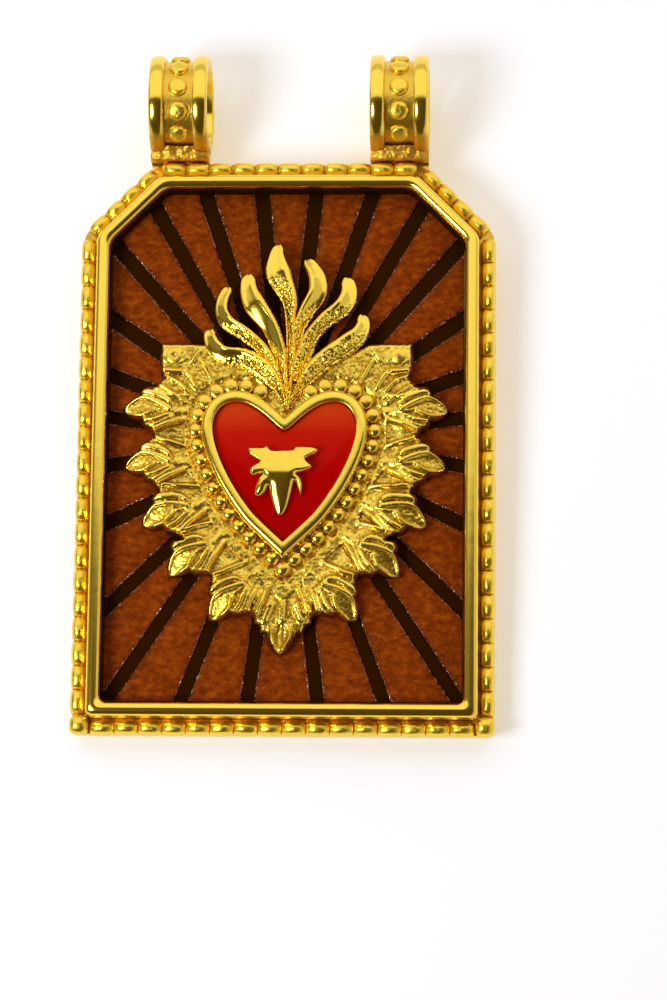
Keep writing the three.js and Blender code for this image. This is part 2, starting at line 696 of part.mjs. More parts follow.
const [bottomLeft, bottomRight, rightSide, topRight, topLeft, leftSide] = frameCorners(beadRowWidth / 2);
const pastCornerBead = 2 * cornerBeadRadius - beadRowWidth / 2 + rowEndGap;
const pastBend = (beadRowWidth / 2) * Math.tan(Math.PI / 8) + rowEndGap;
add("bead_row_bottom", frameBeadRow(bottomLeft, bottomRight, pastCornerBead, pastCornerBead), gold);
add("bead_row_right", frameBeadRow(bottomRight, rightSide, pastCornerBead, pastBend), gold);
add("bead_row_chamfer_right", frameBeadRow(rightSide, topRight, pastBend, pastBend), gold);
add("bead_row_top", frameBeadRow(topRight, topLeft, pastBend, pastBend), gold);
add("bead_row_chamfer_left", frameBeadRow(topLeft, leftSide, pastBend, pastBend), gold);
add("bead_row_left", frameBeadRow(leftSide, bottomLeft, pastBend, pastCornerBead), gold);

for (const [word, side] of [["left", -1], ["right", 1]]) {
  add("corner_bead_" + word, cornerBead(side), gold);
  add("wreath_rivet_" + word, wreathRivet(side), gold);
  add("bail_" + word, bail(side), gold);
  add("bail_bead_row_" + word, bailBeadRow(side), gold);
}

export default pendant;
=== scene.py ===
# %% [markdown]
# # A gilt heart plaque
# The object is a small hanging ornament of gilt metal: a tray frame with a beaded border, a rayed
# enamel panel in it, and on the panel a cast leaf wreath that carries a flame and a red heart.
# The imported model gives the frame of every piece. Each piece below is made as a fine mesh in the
# place and size of its solid, because polished metal shows every facet.

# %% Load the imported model
import math
import bmesh
import bpy
import numpy as np
from mathutils import Matrix, Vector, noise
from mathutils.geometry import delaunay_2d_cdt


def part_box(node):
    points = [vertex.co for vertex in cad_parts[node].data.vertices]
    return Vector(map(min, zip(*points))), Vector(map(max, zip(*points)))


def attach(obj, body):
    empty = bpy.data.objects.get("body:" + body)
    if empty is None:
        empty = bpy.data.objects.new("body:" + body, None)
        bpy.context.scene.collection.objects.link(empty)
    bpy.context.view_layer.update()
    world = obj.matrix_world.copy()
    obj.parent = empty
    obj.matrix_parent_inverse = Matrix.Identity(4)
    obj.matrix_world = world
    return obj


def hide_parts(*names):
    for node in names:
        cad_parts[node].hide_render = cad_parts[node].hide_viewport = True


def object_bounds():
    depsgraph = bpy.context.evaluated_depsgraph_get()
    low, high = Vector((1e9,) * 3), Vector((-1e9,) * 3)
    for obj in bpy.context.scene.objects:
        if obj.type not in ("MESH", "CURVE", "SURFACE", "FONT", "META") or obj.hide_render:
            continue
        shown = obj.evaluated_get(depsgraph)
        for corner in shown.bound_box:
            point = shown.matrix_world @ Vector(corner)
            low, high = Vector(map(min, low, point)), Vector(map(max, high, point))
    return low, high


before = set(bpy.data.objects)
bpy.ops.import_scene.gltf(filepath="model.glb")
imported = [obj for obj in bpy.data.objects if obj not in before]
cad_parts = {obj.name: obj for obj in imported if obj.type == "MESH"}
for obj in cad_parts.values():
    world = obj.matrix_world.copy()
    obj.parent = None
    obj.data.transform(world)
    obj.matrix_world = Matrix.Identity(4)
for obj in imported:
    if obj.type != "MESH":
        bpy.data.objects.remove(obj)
cad_low, cad_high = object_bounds()
cad_size = [round(1000 * (b - a), 2) for a, b in zip(cad_low, cad_high)]
print("solids:", len(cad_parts), "box in mm:", cad_size)

# %% [markdown]
# ## Sizes
# All lengths here are millimetres, and one number turns them into Blender's metres. The sizes that
# the solids already hold are read from their boxes, so the dressed pieces follow the model.

# %% Sizes taken from the solids
MM = 0.001


def box_mm(node):
    low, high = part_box(node)
    return np.array(low) / MM, np.array(high) / MM


wall_low, wall_high = box_mm("frame_wall")
plate_low, plate_high = box_mm("back_plate")
rim_low, rim_high = box_mm("rim_moulding")
row_low, row_high = box_mm("bead_row_bottom")
bezel_low, bezel_high = box_mm("heart_bezel")
enamel_low, enamel_high = box_mm("heart_enamel")

LEDGE_INSET = 0.15
CHAMFER_LEG = 5.6
RIM_WIDTH = 1.1
RAY_CENTRE_DROP = 21.75
HALF_WIDTH = wall_high[0] + LEDGE_INSET
FRAME_TOP = wall_high[2] + LEDGE_INSET
FRAME_BOTTOM = wall_low[2] - LEDGE_INSET
RIM_INSET = HALF_WIDTH - rim_high[0]
OPENING_INSET = RIM_INSET + RIM_WIDTH
PLATE_FRONT = plate_low[1]
LEDGE_Y = row_high[1]
RIM_SEAT = rim_high[1]
RAY_TOP = box_mm("ray_panel")[0][1]
FIELD_Y = bezel_high[1]
RAY_CENTRE = np.array([0.0, FRAME_TOP - RAY_CENTRE_DROP])
FRONT = np.array([0.0, -1.0, 0.0])
LEVEL = np.array([1.0, 0, 0])
UPRIGHT = np.array([0, 0, 1.0])
SIDES = (("left", -1), ("right", 1))
print("frame", 2 * HALF_WIDTH, "x", FRAME_TOP - FRAME_BOTTOM, "mm, rays meet at z", RAY_CENTRE[1])

# %% [markdown]
# ## Small tools
# Most pieces are skins over loops of points. One function joins rows of points by four-sided faces,
# and one class gathers the parts of a piece and hands it to the frame. Each point also keeps a mark
# from 0 to 1, which its finish reads, for instance to be matt where solder ran.

# %% Mesh helpers
SHARP_FROM = math.radians(60)


def grid_faces(rows, columns, rows_close=False, columns_close=False):
    """Four-sided faces over points kept row by row."""
    faces = []
    for i in range(rows if rows_close else rows - 1):
        for j in range(columns if columns_close else columns - 1):
            right = (j + 1) % columns
            below = ((i + 1) % rows) * columns
            faces.append((i * columns + j, i * columns + right, below + right, below + j))
    return faces


def new_object(name, data):
    thing = bpy.data.objects.new(name, data)
    bpy.context.scene.collection.objects.link(thing)
    return thing


def new_mesh(name, points, faces, finish):
    """A mesh from points in millimetres."""
    mesh = bpy.data.meshes.new(name)
    mesh.from_pydata((np.asarray(points) * MM).tolist(), [], faces)
    mesh.materials.append(finish)
    return mesh


class Body:
    """Points and faces of one piece, gathered part by part, with a mark on each point."""

    def __init__(self):
        self.points = []
        self.faces = []
        self.marks = []
        self.count = 0

    def add(self, points, faces, mark=0.0):
        self.points.append(points)
        self.faces.extend(tuple(self.count + i for i in face) for face in faces)
        self.marks.append(np.broadcast_to(mark, len(points)))
        self.count += len(points)

    def loops(self, loops, rows_close=False, mark=0.0):
        """A skin over loops of equal length, capped unless its last loop joins its first."""
        rows = len(loops)
        columns = len(loops[0])
        faces = grid_faces(rows, columns, rows_close=rows_close, columns_close=True)
        if not rows_close:
            faces.append(tuple(range(columns)))
            faces.append(tuple((rows - 1) * columns + j for j in reversed(range(columns))))
        self.add(np.concatenate(loops), faces, mark)

    def make(self, name, finish, slot, node, smooth=True):
        mesh = new_mesh(name, np.concatenate(self.points), self.faces, finish)
        shape = bmesh.new()
        shape.from_mesh(mesh)
        bmesh.ops.recalc_face_normals(shape, faces=shape.faces)
        shape.to_mesh(mesh)
        shape.free()
        mesh.polygons.foreach_set("use_smooth", [smooth] * len(mesh.polygons))
        mesh.set_sharp_from_angle(angle=SHARP_FROM)
        mark = mesh.attributes.new("mark", "FLOAT", "POINT")
        mark.data.foreach_set("value", np.concatenate(self.marks).astype(np.float32))
        piece = new_object(name, mesh)
        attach(piece, "root")
        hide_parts(node)
        print(name, len(mesh.vertices), "points")


# %% [markdown]
# The rest are lines and noise. Most lines are drawn flat, as seen from the front, and then put at
# a depth. Noise makes the small unevenness that a cast or hand-worked surface has.

# %% Lines and noise
NO_LENGTH = 1e-9


def at_depth(flat, y):
    """Points [x, z] of a flat drawing as points [x, y, z]."""
    x, z = np.asarray(flat, float).T
    return np.column_stack([x, np.full(len(x), y), z])


def soft_noise(points, size, seed=0.0):
    """Smooth noise from -1 to 1 at each point, with bumps about as wide as size."""
    return np.array([noise.noise(Vector(p) / size + Vector((seed, seed, seed))) for p in points])


def smooth_step(x, low, high):
    t = np.clip((np.asarray(x, float) - low) / (high - low), 0, 1)
    return t * t * (3 - 2 * t)


def bump(x, width):
    """A soft hump of height 1 at x = 0."""
    return np.exp(-(np.asarray(x, float) / width) ** 2)


def quarter_round(distance, radius):
    """The height, from 0 to 1, of an edge rounded with this radius, at a distance from the edge."""
    return np.sqrt(1 - np.clip(1 - distance / radius, 0, 1) ** 2)


def spline(points, count):
    """Count points along a smooth curve through the given ones."""
    p = np.asarray(points, float)
    p = np.vstack([2 * p[0] - p[1], p, 2 * p[-1] - p[-2]])
    place = np.linspace(0, len(points) - 1, count)
    i = np.minimum(place.astype(int), len(points) - 2)
    t = (place - i)[:, None]
    a, b, c, d = p[i], p[i + 1], p[i + 2], p[i + 3]
    bend = (2 * a - 5 * b + 4 * c - d) * t**2 + (3 * b - a - 3 * c + d) * t**3
    return 0.5 * (2 * b + (c - a) * t + bend)


def travelled(line):
    """How far each point lies along a line of points."""
    return np.concatenate([[0], np.cumsum(np.linalg.norm(np.diff(line, axis=0), axis=1))])


def evenly(line, count):
    """Count points at equal steps along a line of points."""
    far = travelled(line)
    wanted = np.linspace(0, far[-1], count)
    return np.column_stack([np.interp(wanted, far, line[:, i]) for i in range(line.shape[1])])


def headings(line):
    """The direction of a line at each of its points."""
    ahead = np.gradient(line, axis=0)
    return ahead / np.maximum(np.linalg.norm(ahead, axis=1)[:, None], NO_LENGTH)


def mirrored(half, until=0):
    """A flat line down the right side, and back up the left side until a point of the first."""
    return np.vstack([half, half[-2:until:-1] * [-1, 1]])


# %% [markdown]
# ## Camera
# The portrait is taken a little from below and from the right, with a long lens. Pitch, yaw and
# roll, the aim point and the distance were fitted to the corners of the frame and to the bails.

# %% Camera
PITCH = math.radians(11.0)
YAW = math.radians(-2.8)
ROLL = math.radians(0.675)
AIM = Vector((3.69, 0.0, -31.1)) * MM
DISTANCE = 260 * MM
FOCAL_PIXELS = 3427
PICTURE_HEIGHT = 1000
SENSOR = 36.0
NEAREST_SEEN = 0.01
FARTHEST_SEEN = 10

forward = Vector((math.sin(YAW) * math.cos(PITCH), math.cos(YAW) * math.cos(PITCH), math.sin(PITCH)))
level_right = Vector((math.cos(YAW), -math.sin(YAW), 0))
level_up = level_right.cross(forward)
right = math.cos(ROLL) * level_right + math.sin(ROLL) * level_up
up = -math.sin(ROLL) * level_right + math.cos(ROLL) * level_up
turned = Matrix((right, up, -forward)).transposed().to_4x4()
camera = new_object("camera", bpy.data.cameras.new("camera"))
camera.matrix_world = Matrix.Translation(AIM - forward * DISTANCE) @ turned
camera.data.sensor_width = SENSOR
camera.data.lens = FOCAL_PIXELS * SENSOR / PICTURE_HEIGHT
camera.data.clip_start = NEAREST_SEEN
camera.data.clip_end = FARTHEST_SEEN
bpy.context.scene.camera = camera
print("lens", round(camera.data.lens, 1), "mm")

# %% [markdown]
# ## Finishes
# Colours are written as sRGB hex, as a picture editor shows them, and turned to linear light once.
# One small function adds a node with its settings and its links. Relief in a finish is reckoned in
# millimetres, so the numbers say how deep the real marks are.

# %% Finish helpers
def linear(code):
    """An sRGB hex colour as linear red, green, blue and alpha."""
    parts = [int(code[i:i + 2], 16) / 255 for i in (1, 3, 5)]
    return [p / 12.92 if p <= 0.04045 else ((p + 0.055) / 1.055) ** 2.4 for p in parts] + [1.0]


def plug(node, inputs):
    """Sets inputs of a node to numbers or hex colours, or links them to a socket or another node."""
    for key, value in inputs.items():
        socket = next(s for i, s in enumerate(node.inputs) if s.enabled and key in (i, s.name))
        if isinstance(value, bpy.types.Node):
            value = next(s for s in value.outputs if s.enabled)
        if isinstance(value, bpy.types.NodeSocket):
            node.id_data.links.new(value, socket)
        else:
            socket.default_value = linear(value) if isinstance(value, str) else value


def add(tree, kind, inputs=None, stops=(), **settings):
    """Adds a node with its settings, the places and colours of its ramp, and its inputs."""
    node = tree.nodes.new("ShaderNode" + kind)
    for key, value in settings.items():
        setattr(node, key, value)
    while stops and len(node.color_ramp.elements) < len(stops):
        node.color_ramp.elements.new(0.5)
    for i, (place, code) in enumerate(stops):
        node.color_ramp.elements[i].position = place
        node.color_ramp.elements[i].color = linear(code)
    plug(node, inputs or {})
    return node


def new_finish(name):
    finish = bpy.data.materials.new(name)
    finish.use_nodes = True
    return finish, finish.node_tree, finish.node_tree.nodes["Principled BSDF"]


def cells(size_mm):
    """The scale of a noise whose cells are this many millimetres wide."""
    return 1 / (size_mm * MM)


def relief(shader, *heights):
    """Lifts the surface by heights in millimetres. Each is a product, given as its factors."""
    tree = shader.id_data
    total = 0.0
    for height, *factors in heights:
        for factor in factors:
            height = add(tree, "Math", {0: height, 1: factor}, operation="MULTIPLY")
        total = add(tree, "Math", {0: total, 1: height}, operation="ADD")
    lift = add(tree, "Bump", {"Height": total, "Strength": 1.0, "Distance": MM})
    plug(shader, {"Normal": lift})


# %% [markdown]
# ### Polished gold
# The frame, the bezel and the bails are brass, plated with yellow gold and polished on a felt
# wheel. The eye sees a clear mirror that is never quite flat: the wheel leaves broad, very low
# waves, and they make the reflections run a little. Where a piece is marked, it was soldered and
# the wheel couldn't reach: there the gold is matt and grainy. It is also a shade more orange, and on
# the bails' lower front and feet that orange is a painted warm reflection of surfaces that face down.

# %% Polished gold
GOLD = "#F8D652"
SOLDER_AND_WARM_REFLECTION_GOLD = "#DBA83A"
polished_gold, tree, shader = new_finish("polished_gold")
mark = add(tree, "Attribute", attribute_name="mark").outputs["Fac"]
plug(shader, {
    "Base Color": add(tree, "Mix", {"Factor": mark, "A": GOLD, "B": SOLDER_AND_WARM_REFLECTION_GOLD}, data_type="RGBA"),
    "Metallic": 1.0,
    "Roughness": add(tree, "MapRange", {"Value": mark, "To Min": 0.16, "To Max": 0.42}),
})
place = add(tree, "TexCoord").outputs["Object"]
waves = add(tree, "TexNoise", {"Vector": place, "Scale": cells(1.1), "Detail": 3.0})
solder_grain = add(tree, "TexNoise", {"Vector": place, "Scale": cells(0.22), "Detail": 3.0})
relief(shader, (waves, 0.007), (solder_grain, mark, 0.05))

# %% [markdown]
# ### Cast gold
# The wreath is cast from a wax model and only brushed, so its skin keeps the grain of the mould.
# The eye sees a satin yellow that sparkles, with smooth bright lines where the brush ran along the
# raised ribs. The brown in the hollows is painted shade, and the lighter yellow on brushed and raised
# places is brushed polish with a painted highlight. The mark is 0 in those hollows, 0.4 on plain skin
# and 1 where the brush ran. The real grain is finer than a pixel, so it is drawn about a fifth of a
# millimetre wide, which is as coarse as it must be to show.

# %% Cast gold
cast_gold, tree, shader = new_finish("cast_gold")
mark = add(tree, "Attribute", attribute_name="mark").outputs["Fac"]
place = add(tree, "TexCoord").outputs["Object"]
mould = add(tree, "TexNoise", {"Vector": place, "Scale": cells(0.22), "Detail": 1.0})
skin_tones = [(0.32, "#B88A22"), (0.48, "#E0B43C"), (0.64, "#F8D85A")]
rough_skin = add(tree, "ValToRGB", {"Fac": mould}, skin_tones)
# Painted highlight and shade: brushed and raised places turn a lighter yellow, and hollows turn brown.
brush_and_highlight = add(tree, "ValToRGB", {"Fac": mark}, [(0.35, "#000000"), (0.9, "#FFFFFF")])
hollow_shade = add(tree, "ValToRGB", {"Fac": mark}, [(0.0, "#FFFFFF"), (0.3, "#000000")])
brushed_and_highlit = add(tree, "Mix", {"Factor": brush_and_highlight, "A": rough_skin, "B": "#F8D85A"}, data_type="RGBA")
left_mould = add(tree, "MapRange", {"Value": mark, "To Min": 1.0, "To Max": 0.1})
plug(shader, {
    "Base Color": add(tree, "Mix", {"Factor": hollow_shade, "A": brushed_and_highlit, "B": "#A27620"}, data_type="RGBA"),
    "Metallic": 1.0,
    "Roughness": add(tree, "MapRange", {"Value": mark, "To Min": 0.34, "To Max": 0.2}),
})
relief(shader, (mould, left_mould, 0.05))

# %% [markdown]
# ### Stippled gold
# The flame is chased: its tips are burnished smooth, and the roots are struck with a fine point,
# so they glitter. A mark on each point of the mesh says how much of the stipple it takes.

# %% Stippled gold
stippled_gold, tree, shader = new_finish("stippled_gold")
mark = add(tree, "Attribute", attribute_name="mark").outputs["Fac"]
plug(shader, {"Base Color": GOLD, "Metallic": 1.0, "Roughness": 0.14})
place = add(tree, "TexCoord").outputs["Object"]
stipple = add(tree, "TexNoise", {"Vector": place, "Scale": cells(0.22), "Detail": 0.0})
waves = add(tree, "TexNoise", {"Vector": place, "Scale": cells(0.9), "Detail": 2.0})
relief(shader, (stipple, mark, 0.21), (waves, 0.008))

# %% [markdown]
# ### Beaded gold
# The beads are struck in a die and soldered on. Their crowns are bright, and the hollows between
# them keep a fine tooth from the pickling, so the finish is a shade rougher than the frame's.

# %% Beaded gold
BEAD_GOLD = "#F7D24A"
beaded_gold, tree, shader = new_finish("beaded_gold")
plug(shader, {"Base Color": BEAD_GOLD, "Metallic": 1.0, "Roughness": 0.3})
place = add(tree, "TexCoord").outputs["Object"]
tooth = add(tree, "TexNoise", {"Vector": place, "Scale": cells(0.3), "Detail": 4.0})
relief(shader, (tooth, 0.05))

# %% [markdown]
# ### Rivet gold
# The rivets were filed flush and gilt over, and at the middle of each, where the file cut deepest,
# the pink of the copper shows. The mark says where.

# %% Rivet gold
rivet_gold, tree, shader = new_finish("rivet_gold")
mark = add(tree, "Attribute", attribute_name="mark").outputs["Fac"]
plug(shader, {
    "Base Color": add(tree, "Mix", {"Factor": mark, "A": BEAD_GOLD, "B": "#CC9068"}, data_type="RGBA"),
    "Metallic": 1.0,
    "Roughness": 0.3,
})
place = add(tree, "TexCoord").outputs["Object"]
file_marks = add(tree, "TexNoise", {"Vector": place, "Scale": cells(0.25), "Detail": 3.0})
relief(shader, (file_marks, 0.02))

# %% [markdown]
# ### Brown enamel
# The rays are a clear brown enamel over cast metal, rust red like fine leather on the high places.
# Towards the low places it darkens to almost black: partly the enamel pooling deeper there, partly
# painted shade in the grooves. So the mark is the depth: 0 on a ray's crown and 1 on a groove's floor.
# The enamel was stoned level, which left short streaks across the rays, and only their bevelled edges
# kept enough gloss to glint.

# %% Brown enamel
brown_enamel, tree, shader = new_finish("brown_enamel")
mark = add(tree, "Attribute", attribute_name="mark").outputs["Fac"]
place = add(tree, "TexCoord").outputs["Object"]
drawn = add(tree, "Mapping", {"Vector": place, "Rotation": (0, 0.25, 0), "Scale": (0.6, 1.0, 1.0)})
streaks = add(tree, "TexNoise", {"Vector": drawn, "Scale": cells(0.4), "Detail": 7.0, "Roughness": 0.68})
leather = add(tree, "ValToRGB", {"Fac": streaks}, [(0.3, "#682603"), (0.5, "#8E3906"), (0.7, "#B05410")])
# Each ramp below gives a value for every depth of the enamel.
# Darker with depth: partly pooled enamel, partly painted shade in the grooves.
pooling_and_groove_shade = add(tree, "ValToRGB", {"Fac": mark}, [(0.05, "#000000"), (0.45, "#8C8C8C"), (0.85, "#FFFFFF")])
stoned = add(tree, "ValToRGB", {"Fac": mark}, [(0.36, "#FFFFFF"), (0.45, "#505050"), (1.0, "#303030")])
on_bevels = [(0.4, "#000000"), (0.45, "#FFFFFF"), (0.75, "#FFFFFF"), (0.85, "#000000")]
nicked = add(tree, "ValToRGB", {"Fac": mark}, on_bevels)
gloss = [(0.42, "#202020"), (0.46, "#C0C0C0"), (0.7, "#909090"), (0.95, "#101010")]
mattness = [(0.4, "#9C9C9C"), (0.46, "#404040"), (0.7, "#606060")]
plug(shader, {
    "Base Color": add(tree, "Mix", {"Factor": pooling_and_groove_shade, "A": leather, "B": "#301600"}, data_type="RGBA"),
    "Specular IOR Level": add(tree, "ValToRGB", {"Fac": mark}, gloss),
    "Roughness": add(tree, "ValToRGB", {"Fac": mark}, mattness),
    "IOR": 1.75,
    "Specular Tint": "#FFE2C0",
})
stone_marks = add(tree, "TexNoise", {"Vector": place, "Scale": cells(0.2), "Detail": 3.0})
nicks = add(tree, "TexNoise", {"Vector": place, "Scale": cells(0.26), "Detail": 0.0})
relief(shader, (stone_marks, stoned, 0.08), (nicks, nicked, 0.25))

# %% [markdown]
# ### Red enamel
# The heart is a vitreous enamel, fired thick and slightly domed. A gradient along the heart's height
# makes it lighter and more orange at the top and a deeper red towards the point: painted light from
# the soft box above. Its gloss is a thin clear coat, weak enough to keep the red pure.

# %% Red enamel
red_enamel, tree, shader = new_finish("red_enamel")
place = add(tree, "TexCoord").outputs["Object"]
upward = add(tree, "SeparateXYZ", {"Vector": place}).outputs["Z"]
heart_ends = {"From Min": enamel_low[2] * MM, "From Max": enamel_high[2] * MM}
up_heart = add(tree, "MapRange", {"Value": upward, **heart_ends})
# Painted light: lighter and more orange towards the top of the heart.
reds_lit_from_above = [(0.0, "#A00402"), (0.55, "#B40402"), (0.78, "#C01402"), (1.0, "#D8440C")]
plug(shader, {
    "Base Color": add(tree, "ValToRGB", {"Fac": up_heart}, reds_lit_from_above),
    "Roughness": 0.4,
    "Specular IOR Level": 0.0,
    "Coat Weight": 0.07,
    "Coat Roughness": 0.04,
})

# %% [markdown]
# ## The frame's outline
# The tray is a rectangle with its two upper corners cut off at 45 degrees. Every band of the border
# follows this outline at its own inset, so one function gives it, with the corners rounded.

# %% Frame outline
CORNER_OUTSIDE = 0.55
CORNER_INSIDE = 0.62
ARC_STEPS = 8


def frame_corners(inset):
    half = HALF_WIDTH - inset
    leg = CHAMFER_LEG - inset * (2 - math.sqrt(2))
    high = FRAME_TOP - inset
    low = FRAME_BOTTOM + inset
    right_side = [(half, low), (half, high - leg), (half - leg, high)]
    return np.array([(-half, low)] + right_side + [(leg - half, high), (-half, high - leg)])


def frame_loop(inset, y, rounding):
    corners = frame_corners(inset)
    loop = []
    for i, corner in enumerate(corners):
        before = corners[i - 1] - corner
        after = corners[(i + 1) % len(corners)] - corner
        start = corner + before / np.linalg.norm(before) * rounding
        end = corner + after / np.linalg.norm(after) * rounding
        for t in np.linspace(0, 1, ARC_STEPS):
            loop.append((1 - t) ** 2 * start + 2 * t * (1 - t) * corner + t**2 * end)
    return at_depth(loop, y)


# %% [markdown]
# ## Tray wall and ledge
# The wall is one strip of metal, stepped so that its outer part makes the ledge for the beads. On
# the real piece it is milled, then planished, so its long edges are softly broken. Sweeping a
# section round the outline keeps those edges even and takes few points. The ledge is marked, as the
# solder that holds the beads left it matt.

# %% Tray wall
EDGE_BREAK = 0.06
SEAT_GROOVE = 0.07
LEDGE_MATT = 0.8
# Inset from the outline, depth, mark.
WALL_SECTION = [
    (LEDGE_INSET, PLATE_FRONT, 0),
    (LEDGE_INSET, LEDGE_Y + EDGE_BREAK, 0),
    (LEDGE_INSET + EDGE_BREAK, LEDGE_Y, LEDGE_MATT),
    (RIM_INSET - EDGE_BREAK, LEDGE_Y, LEDGE_MATT),
    (RIM_INSET, LEDGE_Y - EDGE_BREAK, LEDGE_MATT),
    (RIM_INSET, RIM_SEAT + 2 * SEAT_GROOVE, 0),
    (RIM_INSET + SEAT_GROOVE, RIM_SEAT + SEAT_GROOVE, 0),
    (RIM_INSET + SEAT_GROOVE, RIM_SEAT, 0),
    (OPENING_INSET - EDGE_BREAK, RIM_SEAT, 0),
    (OPENING_INSET, RIM_SEAT + EDGE_BREAK, 0),
    (OPENING_INSET, PLATE_FRONT, 0),
]
wall = Body()
wall_loops = [frame_loop(inset, y, CORNER_OUTSIDE) for inset, y, _ in WALL_SECTION]
wall_marks = np.repeat([mark for _, _, mark in WALL_SECTION], len(wall_loops[0]))
wall.loops(wall_loops, rows_close=True, mark=wall_marks)
wall.make("tray_wall", polished_gold, "polished_gold", "frame_wall", smooth=False)

# %% [markdown]
# ## Rim moulding
# A half-round wire, polished bright, is laid on the wall. Its section is a plain half circle,
# slightly flattened, and its reflections are the long light and dark bands that draw the frame.

# %% Rim moulding
RIM_STEPS = 26
RIM_FLATNESS = 0.9
rim_height = RIM_SEAT - rim_low[1]
rim_loops = []
for step in range(RIM_STEPS + 1):
    angle = math.pi * step / RIM_STEPS
    inset = RIM_INSET + RIM_WIDTH / 2 * (1 - math.cos(angle))
    rise = rim_height * max(math.sin(angle), 0) ** RIM_FLATNESS
    rounding = CORNER_OUTSIDE + (CORNER_INSIDE - CORNER_OUTSIDE) * step / RIM_STEPS
    rim_loops.append(frame_loop(inset, RIM_SEAT - rise, rounding))
rim = Body()
rim.loops(rim_loops, rows_close=True)
rim.make("polished_rim", polished_gold, "polished_gold", "rim_moulding")

# %% [markdown]
# ## Border beads
# The border is a beaded wire: a strip that was rolled between toothed wheels, so its beads hang
# together at narrow necks. Each row is one loft. The section is a pillow that stands upright on its
# outer side, and it swells and shrinks along the row with the bead pitch. A little noise, always
# inwards, keeps the beads from looking machined.

# %% Beaded wire
BEAD_ROW_WIDTH = 1.2
BEAD_PITCH = 1.81
ROW_END_GAP = 0.08
NECK_HEIGHT = 0.5
NECK_WIDTH = 0.76
SWELL_POWER = 2.1
SMALLEST_BEAD = 0.94
DENT_DEPTH = 0.05
DENT_SIZE = 0.7
WIRE_SECTION = [
    (-0.85, 0), (-0.95, 0.35), (-0.75, 0.75), (-0.3, 0.97), (0.2, 1.0),
    (0.62, 0.9), (0.86, 0.68), (0.95, 0.5), (1, 0.3), (1, 0),
]
WIRE_SECTION_STEPS = 26
WIRE_STATIONS = 18
bead_top = row_high[1] - row_low[1]
chance = np.random.default_rng(7)


def straight_row(name, start, end, back_at_start, back_at_end, node):
    """A beaded wire on the ledge between two corners of its centre line."""
    start, end = at_depth([start, end], LEDGE_Y)
    along = (end - start) / np.linalg.norm(end - start)
    outward = np.cross(along, FRONT)
    start = start + along * back_at_start
    end = end - along * back_at_end
    count = round(np.linalg.norm(end - start) / BEAD_PITCH)
    pitch = (end - start) / count
    section = np.clip(spline(WIRE_SECTION, WIRE_SECTION_STEPS), -1, 1)
    phases = 0.5 - 0.5 * np.cos(np.linspace(0, math.pi, WIRE_STATIONS, endpoint=False))
    loops = []
    for i in range(count):
        tall, wide = chance.uniform(SMALLEST_BEAD, 1.0, 2)
        for phase in list(phases) + ([1.0] if i == count - 1 else []):
            swell = math.sqrt(1 - abs(2 * phase - 1) ** SWELL_POWER)
            half_width = (NECK_WIDTH + (wide - NECK_WIDTH) * swell) * BEAD_ROW_WIDTH / 2
            rise = (NECK_HEIGHT + (tall - NECK_HEIGHT) * swell) * bead_top
            across = np.outer(section[:, 0] * half_width, outward)
            loops.append(start + pitch * (i + phase) + across + np.outer(section[:, 1] * rise, FRONT))
    points = np.concatenate(loops)
    points -= np.outer(DENT_DEPTH * np.abs(soft_noise(points, DENT_SIZE)), FRONT)
    points[:, 1] = np.minimum(points[:, 1], LEDGE_Y)
    row = Body()
    row.loops(list(points.reshape(len(loops), -1, 3)))
    row.make(name, beaded_gold, "beaded_gold", node)


corner_low, corner_high = box_mm("corner_bead_right")
corner_radius = (corner_high[0] - corner_low[0]) / 2
centre_line = frame_corners(BEAD_ROW_WIDTH / 2)
past_corner = 2 * corner_radius - BEAD_ROW_WIDTH / 2 + ROW_END_GAP
past_bend = BEAD_ROW_WIDTH / 2 * math.tan(math.pi / 8) + ROW_END_GAP
bead_rows = [
    ("bottom", 0, 1, past_corner, past_corner),
    ("right", 1, 2, past_corner, past_bend),
    ("chamfer_right", 2, 3, past_bend, past_bend),
    ("top", 3, 4, past_bend, past_bend),
    ("chamfer_left", 4, 5, past_bend, past_bend),
    ("left", 5, 0, past_bend, past_corner),
]
for word, first, last, *back in bead_rows:
    straight_row("beads_" + word, centre_line[first], centre_line[last], *back, "bead_row_" + word)

# %% [markdown]
# ### Single beads
# A single bead is a blunted ball: one power squares its plan and another squares its profile. The
# bead in each lower corner is nearly square in plan, since it was cut to fill the corner.

# %% Single beads
BEAD_RINGS = 14
BEAD_SIDES = 28
LOWEST_RING = 0.08 - math.pi / 2
HIGHEST_RING = math.pi / 2 - 0.06
CORNER_PLAN = 0.7
CORNER_PROFILE = 0.85
CORNER_SUNK_SHARE = 0.4


def blunt(angle, power):
    """Cosine and sine, pushed towards a square as the power falls."""
    c, s = np.cos(angle), np.sin(angle)
    return np.sign(c) * np.abs(c) ** power, np.sign(s) * np.abs(s) ** power


def bead_loops(centre, along, across, up, half_length, half_width, rise, sink, plan=1.0, profile=1.0):
    loops = []
    for latitude in np.linspace(LOWEST_RING, HIGHEST_RING, BEAD_RINGS):
        girth, height = blunt(latitude, profile)
        c, s = blunt(np.linspace(0, 2 * math.pi, BEAD_SIDES, endpoint=False), plan)
        lift = height * (rise if height > 0 else sink)
        spread = np.outer(c * girth * half_length, along) + np.outer(s * girth * half_width, across)
        loops.append(centre + spread + lift * up)
    return loops


